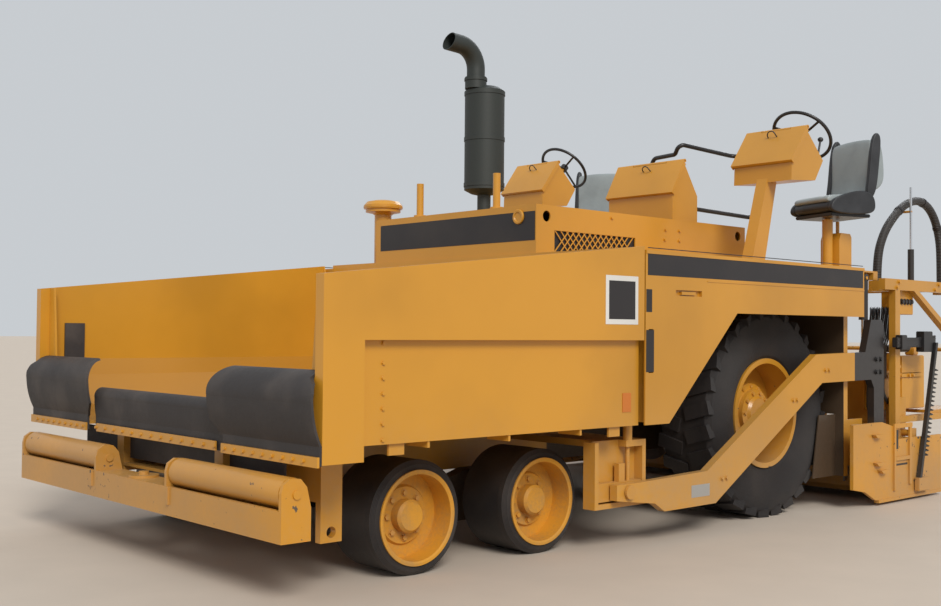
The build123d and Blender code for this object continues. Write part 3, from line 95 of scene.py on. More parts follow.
class Finish:
    """A material whose nodes are added one by one."""

    def __init__(self, name):
        self.material = bpy.data.materials.new(name)
        self.material.use_nodes = True
        self.tree = self.material.node_tree
        self.tree.nodes.clear()
        self.place = self.node("ShaderNodeTexCoord", {}, {}, "Object")

    def node(self, kind, settings, sockets, output=0):
        made = self.tree.nodes.new(kind)
        for key, value in settings.items():
            setattr(made, key, value)
        for key, value in sockets.items():
            if isinstance(value, Wire):
                self.tree.links.new(value.socket, made.inputs[key])
            else:
                made.inputs[key].default_value = value
        return Wire(self, made.outputs[output])

    def noise(self, scale, detail=2.0, vector=None):
        sockets = {"Vector": vector or self.place, "Scale": scale, "Detail": detail}
        return self.node("ShaderNodeTexNoise", {}, sockets)

    def waves(self, direction, scale, distortion):
        # Bands across an axis. The second output is how high each point of the wave is.
        sockets = {"Vector": self.place, "Scale": scale, "Distortion": distortion}
        return self.node("ShaderNodeTexWave", {"bands_direction": direction}, sockets, 1)

    def ease(self, value, low, high):
        sockets = {"Value": value, "From Min": low, "From Max": high}
        return self.node("ShaderNodeMapRange", {"interpolation_type": "SMOOTHSTEP"}, sockets)

    def blend(self, factor, first, second):
        sockets = {"Factor": factor, 6: first, 7: second}
        return self.node("ShaderNodeMix", {"data_type": "RGBA"}, sockets, 2)

    def axis(self, vector, index):
        return self.node("ShaderNodeSeparateXYZ", {}, {0: vector}, index)

    def bump(self, height):
        # The height is in metres.
        sockets = {"Height": height, "Distance": 1.0, "Strength": 1.0}
        return self.node("ShaderNodeBump", {}, sockets)

    def close(self, **sockets):
        named = {key.replace("_", " "): value for key, value in sockets.items()}
        shader = self.node("ShaderNodeBsdfPrincipled", {}, named)
        made = self.tree.nodes.new("ShaderNodeOutputMaterial")
        self.tree.links.new(shader.socket, made.inputs[0])
        return self.material


sand = Finish("pale_floor")
grain = sand.noise(3.0, 4.0)
sand_colour = sand.blend(grain, (0.56, 0.48, 0.40, 1), (0.50, 0.43, 0.36, 1))
sand_material = sand.close(Base_Color=sand_colour, Roughness=0.95)
floor_mesh = bpy.data.meshes.new("floor")
floor_corners = [(x * FLOOR_REACH, y * FLOOR_REACH, 0) for x, y in ((-1, -1), (1, -1), (1, 1), (-1, 1))]
floor_mesh.from_pydata(floor_corners, [], [(0, 1, 2, 3)])
floor_mesh.materials.append(sand_material)
floor = bpy.data.objects.new("floor", floor_mesh)
bpy.context.scene.collection.objects.link(floor)

world = bpy.data.worlds.new("sky")
world.use_nodes = True
sky = world.node_tree.nodes["Background"]
sky.inputs["Color"].default_value = (0.80, 0.84, 0.88, 1)
sky.inputs["Strength"].default_value = 0.72
bpy.context.scene.world = world
for lamp_name, toward, strength, tint in (
    ("key_lamp", (0.40, 0.80, 0.72), 2.3, (1.0, 0.97, 0.92)),
    ("back_lamp", (-0.80, -0.35, 0.60), 0.5, (0.93, 0.96, 1.0)),
):
    lamp_data = bpy.data.lights.new(lamp_name, "SUN")
    lamp_data.angle, lamp_data.energy, lamp_data.color = radians(24), strength, tint
    lamp = bpy.data.objects.new(lamp_name, lamp_data)
    lamp.rotation_euler = (-Vector(toward)).to_track_quat("-Z", "Y").to_euler()
    bpy.context.scene.collection.objects.link(lamp)


# Painted steel
# Thick golden yellow machine paint on folded and welded plate: chassis, body, hood and wings.
# It is a little uneven, dusty low down and on flat tops, and chipped where things rub.
# The hopper's front lip is this far ahead of the origin, and stations run back from it.
LIP = 3.084
ARCH_FRONT, ARCH_REAR, ARCH_OUTSIDE, ARCH_TOP = 2.36, 4.456, 1.500, 1.480
ARM_HEAD_FRONT = 4.495
SLOPE_TOP_Z = 1.25
YELLOW = (0.62, 0.285, 0.022, 1)
WORN_YELLOW = (0.60, 0.27, 0.022, 1)
TREAD_YELLOW = (0.55, 0.26, 0.03, 1)
DUST = (0.40, 0.30, 0.20, 1)
CHIP = (0.10, 0.075, 0.055, 1)
ARCH_PAINTED_SHADE = (0.022, 0.018, 0.016, 1)
ARM_BLACK = (0.020, 0.017, 0.017, 1)
SLOPE_PAINTED_SHADE = (0.34, 0.15, 0.014, 1)


def coat(name, colour, chips=0.0, tread=False, arch_painted_shade=False, black_from=None, shade_slopes=False):
    skin = Finish(name)
    broad = skin.noise(0.9, 4.0)
    fine = skin.noise(34.0, 3.0)
    height = skin.axis(skin.place, 2)
    facing = skin.node("ShaderNodeNewGeometry", {}, {}, "Normal")
    flat_top = skin.ease(skin.axis(facing, 2), 0.75, 1.0)
    low = skin.ease(height, 1.0, 0.1)
    dust = low * 0.42 * skin.ease(broad + fine * 0.35, 0.45, 0.95) + flat_top * fine * 0.22
    deeper = tuple(part * 0.80 for part in colour[:3]) + (1,)
    base = skin.blend(skin.ease(broad, 0.35, 0.7), colour, deeper)
    base = skin.blend(dust, base, DUST)
    rough = fine * 0.18 + dust * 0.5 + 0.26
    if chips:
        spots = skin.noise(26.0, 8.0) + skin.noise(3.0, 2.0) * 0.35
        least = 0.90 - chips * 0.06
        flaw = skin.ease(spots, least, least + 0.03)
        base = skin.blend(flaw, base, CHIP)
        rough = rough + flaw * 0.3
    if arch_painted_shade:
        # Painted shade inside the wheel arch, between its front and rear edges, from just inside the body's
        # skin.
        depth = skin.axis(skin.place, 1).math("ABSOLUTE")
        station = LIP - skin.axis(skin.place, 0)
        arch = skin.ease(station, ARCH_FRONT, ARCH_FRONT + 0.02)
        arch = arch * skin.ease(station, ARCH_REAR, ARCH_REAR - 0.004)
        below = skin.ease(height, ARCH_TOP, ARCH_TOP - 0.02)
        deep = skin.ease(depth, ARCH_OUTSIDE, ARCH_OUTSIDE - 0.015) * below * arch
        base = skin.blend(deep * 0.93, base, ARCH_PAINTED_SHADE)
        rough = rough + deep * 0.25
    if shade_slopes:
        # Painted shade on the wings' sloping floors, where the asphalt slides.
        below = skin.ease(height, SLOPE_TOP_Z, SLOPE_TOP_Z - 0.05)
        slope = skin.ease(skin.axis(facing, 2), 0.12, 0.3) * below
        base = skin.blend(slope * 0.62, base, SLOPE_PAINTED_SHADE)
    if black_from:
        behind = skin.ease(LIP - skin.axis(skin.place, 0), black_from, black_from + 0.002)
        base = skin.blend(behind, base, ARM_BLACK)
    relief = skin.noise(260.0, 1.0) * 0.00012
    if tread:
        along, across = skin.axis(skin.place, 0), skin.axis(skin.place, 1)
        weave = ((along + across) * 95.0).math("SINE") * ((along - across) * 95.0).math("SINE")
        relief = relief + skin.ease(weave.math("ABSOLUTE"), 0.35, 0.75) * flat_top * 0.0015
    return skin.close(
        Base_Color=base, Roughness=rough, Coat_Weight=0.25, Coat_Roughness=0.15, Normal=skin.bump(relief)
    )


def dress(material, *names):
    for name in names:
        nodes[name].data.materials.clear()
        nodes[name].data.materials.append(material)


paint = coat("machine_paint", YELLOW)
arch_shaded_paint = coat("body_paint_arch_shade", YELLOW, arch_painted_shade=True)
rubbed_paint = coat("rubbed_paint", WORN_YELLOW, chips=0.5)
tread_paint = coat("tread_plate_paint", TREAD_YELLOW, chips=0.3, tread=True)
arm_paint = coat("arm_paint", YELLOW, black_from=ARM_HEAD_FRONT)
wing_paint = coat("wing_paint", YELLOW, shade_slopes=True)
dress(arch_shaded_paint, "main_frame", "side_bodies")
dress(paint, "hood", "hood_fittings", "consoles", "seat_posts")
dress(paint, "console_lid_left", "console_lid_right", "centre_lid")
dress(wing_paint, "hopper_wing_left", "hopper_wing_right")
dress(arm_paint, "tow_arms")
dress(rubbed_paint, "push_beam", "push_roller_left", "push_roller_right", "tow_point_left", "tow_point_right")
dress(rubbed_paint, "end_gate_left", "end_gate_right", "screed_extension_left", "screed_extension_right")
dress(tread_paint, "deck", "screed")


# Black and dark steel
# Rails, steering wheels and lift barrels are black gloss paint. Axles and bogies are
# painted black castings under road dirt.
ROAD_DIRT = (0.20, 0.15, 0.10, 1)


def dark_coat(name, colour, rough, grit):
    skin = Finish(name)
    broad, fine = skin.noise(2.2, 4.0), skin.noise(90.0, 3.0)
    low = skin.ease(skin.axis(skin.place, 2), 1.0, 0.1)
    soiled = skin.ease(broad, 0.4, 0.8) * grit + low * fine * grit
    base = skin.blend(soiled, colour, ROAD_DIRT)
    relief = skin.bump(fine * 0.0003 * grit)
    return skin.close(Base_Color=base, Roughness=fine * 0.15 + rough, Normal=relief)


black_paint = dark_coat("black_paint", (0.018, 0.017, 0.018, 1), 0.28, 0.08)
dirty_iron = dark_coat("dirty_iron", (0.045, 0.035, 0.028, 1), 0.62, 0.55)
knuckles = [name for name in nodes if name.startswith("knuckle")]
dress(black_paint, "guard_rails", "steering_wheel_left", "steering_wheel_right")
dress(black_paint, "lift_barrel_left", "lift_barrel_right")
dress(dirty_iron, "axles", "engine", "beam_pivot", *knuckles)


# Bare steel
# Hopper floor, augers and rods rub on stone or run through seals, so they are bare.
# Fine scratches run along them, with brown stains where the mix has dried.
STAIN = (0.09, 0.055, 0.035, 1)


def bare_steel(name, colour, rough, scratch):
    skin = Finish(name)
    along = skin.node("ShaderNodeMapping", {}, {"Vector": skin.place, "Scale": (3.0, 60.0, 60.0)})
    streak, broad = skin.noise(6.0, 4.0, along), skin.noise(2.5, 4.0)
    stain = skin.ease(broad, 0.5, 0.75) * scratch
    base = skin.blend(stain, colour, STAIN)
    metal = 1 - stain * 0.8
    relief = skin.bump(streak * 0.0002 * scratch)
    return skin.close(Base_Color=base, Metallic=metal, Roughness=streak * 0.2 + rough, Normal=relief)


worn_steel = bare_steel("worn_steel", (0.36, 0.34, 0.32, 1), 0.38, 0.8)
chrome = bare_steel("chrome_rod", (0.75, 0.75, 0.76, 1), 0.08, 0.05)
dress(worn_steel, "hopper_floor", "auger_left", "auger_right")
dress(chrome, "lift_rod_left", "lift_rod_right")


# Exhaust
# Rolled steel muffler and bent tailpipe in dark grey-green heat-proof paint,
# dulled and rusting a little.
skin = Finish("exhaust_coat")
broad, fine = skin.noise(3.0, 5.0), skin.noise(120.0, 2.0)
rust = skin.ease(broad, 0.58, 0.85)
base = skin.blend(rust * 0.4, (0.024, 0.029, 0.026, 1), (0.075, 0.045, 0.030, 1))
exhaust_coat = skin.close(Base_Color=base, Roughness=fine * 0.2 + 0.45, Normal=skin.bump(fine * 0.0003))
dress(exhaust_coat, "exhaust")


# Rubber sheet
# Flaps and apron are fabric-backed belting, matt black with dust in the folds.
# Each is bolted along its foot under a yellow strip.
skin = Finish("belting")
broad, fine = skin.noise(3.0, 5.0), skin.noise(45.0, 4.0)
cloth = skin.waves("Y", 120.0, 0.4)
dusty = skin.ease(broad, 0.42, 0.8) * 0.35 + fine * 0.12
base = skin.blend(dusty, (0.022, 0.019, 0.020, 1), (0.16, 0.13, 0.11, 1))
relief = skin.bump(cloth * 0.0002 + fine * 0.0010 + broad * 0.004)
belting = skin.close(Base_Color=base, Roughness=fine * 0.2 + 0.55, Normal=relief)
dress(belting, "hopper_apron", "wing_flap_left", "wing_flap_right")


# Wheels
# Front: solid rubber bonded on a dished yellow rim, one node, told apart by radius.
# Rear: pneumatic drive tyres with moulded rings on the sidewall, on deep yellow rims.
SIDES = (("left", 1), ("right", -1))
FRONT_AXLES = ((1, 794), (2, 1663))
FRONT_WHEEL_Y, FRONT_WHEEL_Z = 1055.5, 281.5
REAR_AXLE, REAR_WHEEL_Y, REAR_WHEEL_Z = 3700, 1120, 675
FRONT_RIM_RADIUS, FRONT_TYRE_HALF, REAR_TYRE_HALF = 0.2338, 0.1805, 0.215
RING_RATE = 700.0
RUBBER = (0.016, 0.014, 0.015, 1)
RUBBER_DUST = (0.17, 0.13, 0.10, 1)
RIM_DIRT = (0.30, 0.19, 0.09, 1)


def at(station, y, z):
    # A station is the distance behind the hopper's front lip, all in millimetres.
    return Vector((LIP - station / 1000, y / 1000, z / 1000))


def tyre_finish(name, hub, rim_radius, half_width, grime):
    # Without a rim radius the whole node is rubber.
    skin = Finish(name)
    shifted = skin.node("ShaderNodeVectorMath", {"operation": "SUBTRACT"}, {0: skin.place, 1: hub})
    x, y, z = (skin.axis(shifted, index) for index in range(3))
    radius = (x * x + z * z).math("SQRT")
    fine, broad = skin.noise(60.0, 4.0), skin.noise(4.0, 4.0)
    rings = (radius * RING_RATE).math("SINE").math("ABSOLUTE")
    wall = skin.ease(y.math("ABSOLUTE"), half_width * 0.55, half_width * 0.72)
    dusty = (skin.ease(broad, 0.35, 0.75) * 0.30 + fine * 0.15) * grime
    base = skin.blend(dusty, RUBBER, RUBBER_DUST)
    outside = 1.0
    if rim_radius:
        yellow = skin.blend(skin.ease(broad + fine * 0.4, 0.55, 0.95) * 0.55, YELLOW, RIM_DIRT)
        outside = skin.ease(radius, rim_radius, rim_radius + 0.001)
        base = skin.blend(outside, yellow, base)
    relief = skin.bump(rings * wall * outside * 0.0022 + fine * 0.0005)
    return skin.close(Base_Color=base, Roughness=fine * 0.2 + 0.5, Normal=relief)


for name, side in SIDES:
    for number, station in FRONT_AXLES:
        wheel = f"front_wheel_{name}_{number}"
        hub = at(station, side * FRONT_WHEEL_Y, FRONT_WHEEL_Z)
        dress(tyre_finish(wheel + "_finish", hub, FRONT_RIM_RADIUS, FRONT_TYRE_HALF, 0.55), wheel)
    tyre = "rear_tyre_" + name
    hub = at(REAR_AXLE, side * REAR_WHEEL_Y, REAR_WHEEL_Z)
    dress(tyre_finish(tyre + "_finish", hub, None, REAR_TYRE_HALF, 0.35), tyre)
rim_paint = coat("rim_paint", (0.60, 0.275, 0.022, 1), chips=0.25)
dress(rim_paint, "rear_rim_left", "rear_rim_right")


# Bolts
# Hexagon heads on washers hold strips, plates, covers and wheel hubs. They are painted
# with what they hold. Each row is scattered on its points by one Geometry Nodes tree.
def add_piece(name, mesh, material, body):
    mesh.materials.clear()
    mesh.materials.append(material)
    piece = bpy.data.objects.new(name, mesh)
    bpy.context.scene.collection.objects.link(piece)
    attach(piece, body)
    return piece


def bolt_tree(material):
    tree = bpy.data.node_groups.new("bolt_row", "GeometryNodeTree")
    tree.interface.new_socket("Geometry", in_out="INPUT", socket_type="NodeSocketGeometry")
    tree.interface.new_socket("Across", in_out="INPUT", socket_type="NodeSocketFloat")
    tree.interface.new_socket("Geometry", in_out="OUTPUT", socket_type="NodeSocketGeometry")
    start, end = tree.nodes.new("NodeGroupInput"), tree.nodes.new("NodeGroupOutput")
    wire = tree.links.new

    def disc(sides, width, rise, lift):
        made = tree.nodes.new("GeometryNodeMeshCylinder")
        made.inputs["Vertices"].default_value = sides
        made.inputs["Radius"].default_value = width
        made.inputs["Depth"].default_value = rise
        moved = tree.nodes.new("GeometryNodeTransform")
        wire(made.outputs["Mesh"], moved.inputs["Geometry"])
        moved.inputs["Translation"].default_value = (0, 0, lift)
        return moved

    head, washer = disc(6, 0.58, 0.46, 0.37), disc(14, 0.78, 0.14, 0.05)
    both = tree.nodes.new("GeometryNodeJoinGeometry")
    wire(head.outputs[0], both.inputs[0])
    wire(washer.outputs[0], both.inputs[0])
    outward = tree.nodes.new("GeometryNodeInputNamedAttribute")
    outward.data_type = "FLOAT_VECTOR"
    outward.inputs["Name"].default_value = "outward"
    turned = tree.nodes.new("FunctionNodeAlignRotationToVector")
    turned.axis = "Z"
    wire(outward.outputs["Attribute"], turned.inputs["Vector"])
    spread = tree.nodes.new("GeometryNodeInstanceOnPoints")
    wire(start.outputs["Geometry"], spread.inputs["Points"])
    wire(both.outputs[0], spread.inputs["Instance"])
    wire(turned.outputs[0], spread.inputs["Rotation"])
    wire(start.outputs["Across"], spread.inputs["Scale"])
    real = tree.nodes.new("GeometryNodeRealizeInstances")
    dyed = tree.nodes.new("GeometryNodeSetMaterial")
    dyed.inputs["Material"].default_value = material
    wire(spread.outputs[0], real.inputs[0])
    wire(real.outputs[0], dyed.inputs[0])
    wire(dyed.outputs[0], end.inputs[0])
    return tree


bolt_trees = {}


def bolts(name, body, places, across, material):
    # Places are (point, outward direction), across is a head's width over its flats in millimetres.
    if material.name not in bolt_trees:
        bolt_trees[material.name] = bolt_tree(material)
    tree = bolt_trees[material.name]
    points = bpy.data.meshes.new(name + "_points")
    points.from_pydata([place for place, _ in places], [], [])
    facing = points.attributes.new("outward", "FLOAT_VECTOR", "POINT")
    for item, (_, outward) in zip(facing.data, places):
        item.vector = outward
    carrier = bpy.data.objects.new(name + "_points", points)
    bpy.context.scene.collection.objects.link(carrier)
    row = carrier.modifiers.new("bolts", "NODES")
    row.node_group = tree
    width = next(item for item in tree.interface.items_tree if item.name == "Across")
    row[width.identifier] = across / 1000
    bpy.context.view_layer.update()
    evaluated = carrier.evaluated_get(bpy.context.evaluated_depsgraph_get())
    mesh = bpy.data.meshes.new_from_object(evaluated)
    mesh.name = name
    bpy.data.objects.remove(carrier)
    return add_piece(name, mesh, material, body)


def ring_of(centre, outward, radius, count):
    # Even places round a circle that faces outward along Y.
    turns = [2 * pi * k / count for k in range(count)]
    return [(centre + Vector((cos(turn) * radius, 0, sin(turn) * radius)), outward) for turn in turns]


NUTS_OUT, REAR_NUTS_OUT, HUB_COVER_OUT = 64, 49, 94
WING_SKIRT_Y, ARM_FACE_Y, STRIP_BOLT_Z = 1510, 1480, 635
WING_SEAM_STATION, WING_SEAM_ZS = 351, (1139, 1050, 982, 914, 846, 778, 707)
ARM_BOLTS = ((4134, 955), (3744, 768), (2970, 327))
AHEAD = Vector((1, 0, 0))
for name, side in SIDES:
    out = Vector((0, side, 0))
    for number, station in FRONT_AXLES:
        hub = at(station, side * (FRONT_WHEEL_Y + NUTS_OUT), FRONT_WHEEL_Z)
        nuts = ring_of(hub, out, 0.111, 8)
        bolts(f"front_wheel_nuts_{name}_{number}", f"front_wheel_{name}_{number}", nuts, 24, rim_paint)
    hub = at(REAR_AXLE, side * (REAR_WHEEL_Y + REAR_NUTS_OUT), REAR_WHEEL_Z)
    cover = at(REAR_AXLE, side * (REAR_WHEEL_Y + HUB_COVER_OUT), REAR_WHEEL_Z)
    nuts = ring_of(hub, out, 0.170, 12) + ring_of(cover, out, 0.129, 10)
    bolts("rear_wheel_nuts_" + name, "rear_wheel_" + name, nuts, 22, rim_paint)
    strip = [(at(-24, side * (790 + 82 * k), STRIP_BOLT_Z), AHEAD) for k in range(9)]
    seam = [(at(WING_SEAM_STATION, side * WING_SKIRT_Y, z), out) for z in WING_SEAM_ZS]
    bolts("wing_bolts_" + name, "wing_" + name, strip + seam, 15, paint)
    arm = [(at(s + d, side * ARM_FACE_Y, z), out) for s, z in ARM_BOLTS for d in (-22, 22)]
    bolts("arm_bolts_" + name, "screed", arm, 20, paint)
    head = [(at(s, side * ARM_FACE_Y, z), out) for s in (4790, 4850) for z in (930, 1020)]
    bolts("arm_head_bolts_" + name, "screed", head, 26, black_paint)
apron_row = [(at(-1, y, STRIP_BOLT_Z), AHEAD) for y in range(-660, 661, 110)]
bolts("apron_bolts", "tractor", apron_row, 15, paint)


# Bands and plates
# Black bands run round the hood and along the body's top edge, with a thin painted shadow under the deck's
# lip, and a strip clamps the apron.
# A square white plate with a dark field, small bare plates, dark plates painted as the shade
# in the latch and hinge recesses and amber reflectors lie on the sides, all without marks.
BODY_FACE_Y, WING_FACE_Y = 1545, 1550


def mesh_from(name, shape, smooth=False):
    mesh = bpy.data.meshes.new(name)
    shape.to_mesh(mesh)
    shape.free()
    for polygon in mesh.polygons:
        polygon.use_smooth = smooth
    return mesh


def slab(name, body, material, corners, thick, round_off=0.0008):
    # A flat plate: corners in order, and the way and height that it stands up.
    shape = bmesh.new()
    face = shape.faces.new([shape.verts.new(corner) for corner in corners])
    grown = bmesh.ops.extrude_face_region(shape, geom=[face])
    moved = [item for item in grown["geom"] if isinstance(item, bmesh.types.BMVert)]
    bmesh.ops.translate(shape, verts=moved, vec=thick)
    bmesh.ops.recalc_face_normals(shape, faces=shape.faces)
    bmesh.ops.bevel(shape, geom=list(shape.edges), offset=round_off, segments=2, affect="EDGES")
    return add_piece(name, mesh_from(name, shape), material, body)


def side_plate(name, body, material, side, s0, s1, z0, z1, y, thick):
    # A plate on a side face: stations s0 to s1, heights z0 to z1, and the face's distance out.
    corners = [at(s, side * y, z) for s, z in ((s0, z0), (s1, z0), (s1, z1), (s0, z1))]
    return slab(name, body, material, corners, Vector((0, side * thick / 1000, 0)))


band = dark_coat("band_black", (0.020, 0.017, 0.018, 1), 0.35, 0.10)
white = coat("plate_white", (0.74, 0.72, 0.68, 1))
plate_metal = bare_steel("plate_metal", (0.62, 0.62, 0.60, 1), 0.35, 0.2)
amber = dark_coat("amber", (0.55, 0.16, 0.02, 1), 0.25, 0.05)
hood_front = [at(2150, y, z) for y, z in ((-840, 1752), (684, 1752), (684, 1930), (-840, 1930))]
slab("hood_band", "tractor", band, hood_front, Vector((0.002, 0, 0)))
strip_face = [at(8, y, z) for y, z in ((-662, 612), (662, 612), (662, 658), (-662, 658))]
slab("apron_strip", "tractor", paint, strip_face, Vector((0.009, 0, 0)))
for name, side in SIDES:
    wing = "wing_" + name
    for piece, body, material, edges, face_y, thick in (
        ("body_band", "tractor", band, (2162, 4489, 1513, 1643), BODY_FACE_Y, 1.5),
        ("wing_plate", wing, white, (1806, 2074, 1238, 1500), WING_FACE_Y, 1.5),
        ("wing_plate_field", wing, band, (1832, 2048, 1266, 1472), WING_FACE_Y + 1.5, 0.8),
        ("wing_reflector", wing, amber, (1992, 2064, 762, 866), WING_SKIRT_Y, 3),
        ("arm_plate", "screed", plate_metal, (2650, 2826, 236, 308), ARM_FACE_Y, 1.2),
        # Flat dark plates painted as the shade in the latch and hinge recesses.
        ("latch_recess_shade", "tractor", band, (2150, 2200, 1309, 1435), BODY_FACE_Y, 1),
        ("hinge_recess_shade", "tractor", band, (2150, 2218, 978, 1210), BODY_FACE_Y, 1),
        # A thin black strip painted as the shadow under the deck's lip.
        ("band_lip_shadow", "tractor", band, (2162, 4489, 1662, 1667), BODY_FACE_Y, 1),
    ):
        side_plate(f"{piece}_{name}", body, material, side, *edges, face_y, thick)


# Small fittings
# A round cap sits at the left of the hood band, dark screens painted as the shade inside the hood
# stand behind both grilles, and clamp bands hold the muffler, the tailpipe and the pre-cleaner's
# bowl. Each console lid is lifted by a pull of bent wire.
EXHAUST_Y = -200
HOOD_SIDES = (("left", 1, 692), ("right", -1, 892))
HOOD_BOLTS = (
    (2846, 1937), (3401, 1897), (3554, 1898), (3393, 1829), (3554, 1830), (3900, 1700), (4250, 1700),
)
LIDS = (
    ("console_lid_left", (4045, 2592), (3862, 2352), 1150),
    ("console_lid_right", (4045, 2592), (3862, 2352), -1150),
    ("centre_lid", (4150, 2490), (4010, 2245), -35),
)
PULL_BENDS = (
    (74, 14, -34), (74, 34, -34), (60, 52, -22), (56, 58, 0), (60, 52, 22), (74, 34, 34), (74, 14, 34),
)


def turned_piece(name, body, material, profile, centre, direction, steps=48):
    # Profile points are (radius, rise along the direction) in millimetres.
    turn = Vector(direction).to_track_quat("Z", "Y").to_matrix()
    shape = bmesh.new()
    rows = []
    for step in range(steps):
        angle = 2 * pi * step / steps
        around = [Vector((cos(angle) * r, sin(angle) * r, h)) / 1000 for r, h in profile]
        rows.append([shape.verts.new(centre + turn @ point) for point in around])
    for first, second in zip(rows, rows[1:] + rows[:1]):
        for k in range(len(profile)):
            n = (k + 1) % len(profile)
            shape.faces.new((first[k], first[n], second[n], second[k]))
    bmesh.ops.recalc_face_normals(shape, faces=shape.faces)
    mesh = mesh_from(name, shape, True)
    mesh.set_sharp_from_angle(angle=radians(35))
    return add_piece(name, mesh, material, body)


def round_line(name, points, radius, smooth=True, sides=5, steps=12):
    # A round curve along points in metres, bent smoothly between them or straight.
    curve = bpy.data.curves.new(name, "CURVE")
    curve.dimensions = "3D"
    curve.bevel_depth = radius
    curve.bevel_resolution = sides
    curve.resolution_u = steps
    curve.use_fill_caps = True
    line = curve.splines.new("NURBS" if smooth else "POLY")
    line.points.add(len(points) - 1)
    for spot, point in zip(line.points, points):
        spot.co = (*point, 1)
    if smooth:
        line.order_u = 3
        line.use_endpoint_u = True
    carrier = bpy.data.objects.new(name, curve)
    bpy.context.scene.collection.objects.link(carrier)
    return carrier


def pipe(name, points, radius, material, body, smooth=True):
    # A bar, a wire or a hydraulic line as a plain mesh.
    carrier = round_line(name, points, radius, smooth)
    bpy.context.view_layer.update()
    evaluated = carrier.evaluated_get(bpy.context.evaluated_depsgraph_get())
    mesh = bpy.data.meshes.new_from_object(evaluated)
    bpy.data.objects.remove(carrier)
    for polygon in mesh.polygons:
        polygon.use_smooth = True
    return add_piece(name, mesh, material, body)


def slope_spot(upper, lower, down, out, y):
    # A point on a slope between two edges: so far down from the upper one and off its outer face.
    run = Vector((lower[0] - upper[0], 0, lower[1] - upper[1])).normalized()
    return at(upper[0] + run.x * down + run.z * out, y, upper[1] + run.z * down - run.x * out)


cap = [(0.5, 0), (46, 0), (46, 8), (42, 12), (30, 12), (26, 7), (0.5, 7)]
turned_piece("hood_cap", "tractor", paint, cap, at(2148, 544, 1901), (1, 0, 0))
for name, side, wall in HOOD_SIDES:
    # A dark sheet behind the grille, painted as the shade inside the hood.
    side_plate("grille_shade_screen_" + name, "tractor", band, side, 2300, 3095, 1680, 1830, wall - 16, 2)
    heads = [(at(s, side * wall, z), Vector((0, side, 0))) for s, z in HOOD_BOLTS]
    bolts("hood_bolts_" + name, "tractor", heads, 18, paint)
muffler_band = [(136.5, 0), (141, 0), (141, 26), (136.5, 26)]
for number, z in enumerate((2185, 2500, 2815), 1):
    centre = at(2545, EXHAUST_Y, z)
    turned_piece(f"muffler_band_{number}", "tractor", exhaust_coat, muffler_band, centre, (0, 0, 1), 64)
clamp = [(73, 0), (79, 0), (79, 18), (73, 18)]
turned_piece("tailpipe_clamp", "tractor", exhaust_coat, clamp, at(2460, EXHAUST_Y, 2905), (0, 0, 1))
bowl_band = [(141, 0), (144.5, 0), (144.5, 10), (141, 10)]
turned_piece("precleaner_band", "tractor", paint, bowl_band, at(2370, -1100, 2094), (0, 0, 1), 64)
for lid, ridge, foot, middle_y in LIDS:
    bends = [slope_spot(ridge, foot, down, out, middle_y + y) for down, out, y in PULL_BENDS]
    pipe(lid + "_pull", bends, 0.004, black_paint, lid)


# Instruments
# On each console's rear slope, facing its seat: a black plate round the steering column's
# boot, four glazed dials, a row of toggles, and a ball-ended lever at its outer side.
CONSOLE_Y = 1150
SLOPE_TOP, SLOPE_LOW = (4056, 2571), (4257, 2386)
FACING_SEAT = Vector((-0.677, 0, 0.736))
PLATE_EDGES = ((24, -205), (24, 205), (246, 205), (246, -205))
DIAL_RING = [(25, 0), (33, 0), (33, 9), (31, 12), (27, 12), (25, 9)]
DIAL_GLASS = [(0.5, 3), (25.5, 3), (25.5, 6), (0.5, 7)]
COLUMN_BOOT = [(24, 0), (52, 0), (50, 14), (38, 22), (36, 40), (26, 44), (24, 44)]
LEVER_BALL = [(0.5, 0), (12, 3), (19, 12), (19, 22), (12, 31), (0.5, 34)]


def vinyl(name, colour, wear):
    skin = Finish(name)
    broad = skin.noise(5.0, 3.0)
    cells = skin.node("ShaderNodeTexVoronoi", {}, {"Vector": skin.place, "Scale": 320.0})
    creases = skin.noise(22.0, 4.0)
    worn = tuple(part * wear for part in colour[:3]) + (1,)
    base = skin.blend(skin.ease(broad, 0.35, 0.75), colour, worn)
    relief = skin.bump(cells * 0.00025 + creases * 0.0018)
    return skin.close(Base_Color=base, Roughness=broad * 0.15 + 0.38, Normal=relief)


black_vinyl = vinyl("black_vinyl", (0.020, 0.021, 0.024, 1), 1.8)
dial_face = dark_coat("dial_face", (0.03, 0.03, 0.032, 1), 0.12, 0.02)
for name, side in SIDES:
    middle_y = side * CONSOLE_Y
    edges = [slope_spot(SLOPE_TOP, SLOPE_LOW, down, -0.5, middle_y + y) for down, y in PLATE_EDGES]
    slab("instrument_plate_" + name, "tractor", band, edges, FACING_SEAT * 0.003)
    for number, y in enumerate((-150, -75, 75, 150), 1):
        spot = slope_spot(SLOPE_TOP, SLOPE_LOW, 88, -3, middle_y + y)
        turned_piece(f"dial_ring_{name}_{number}", "tractor", chrome, DIAL_RING, spot, FACING_SEAT)
        turned_piece(f"dial_glass_{name}_{number}", "tractor", dial_face, DIAL_GLASS, spot, FACING_SEAT)
    row = [slope_spot(SLOPE_TOP, SLOPE_LOW, 190, -3, middle_y + y) for y in (-170, -130, -90, 90, 130, 170)]
    bolts("toggles_" + name, "tractor", [(spot, FACING_SEAT) for spot in row], 20, chrome)
    spot = slope_spot(SLOPE_TOP, SLOPE_LOW, 128, -2, middle_y)
    turned_piece("column_boot_" + name, "tractor", black_vinyl, COLUMN_BOOT, spot, FACING_SEAT)
    foot = slope_spot(SLOPE_TOP, SLOPE_LOW, 215, 0, middle_y + side * 212)
    lever = [foot, foot + Vector((-0.02, 0, 0.05)), foot + Vector((-0.03, 0, 0.10))]
    pipe("lever_" + name, lever, 0.007, black_paint, "tractor")
    knob = foot + Vector((-0.03, 0, 0.09))
    turned_piece("lever_ball_" + name, "tractor", black_paint, LEVER_BALL, knob, (-0.2, 0, 1))


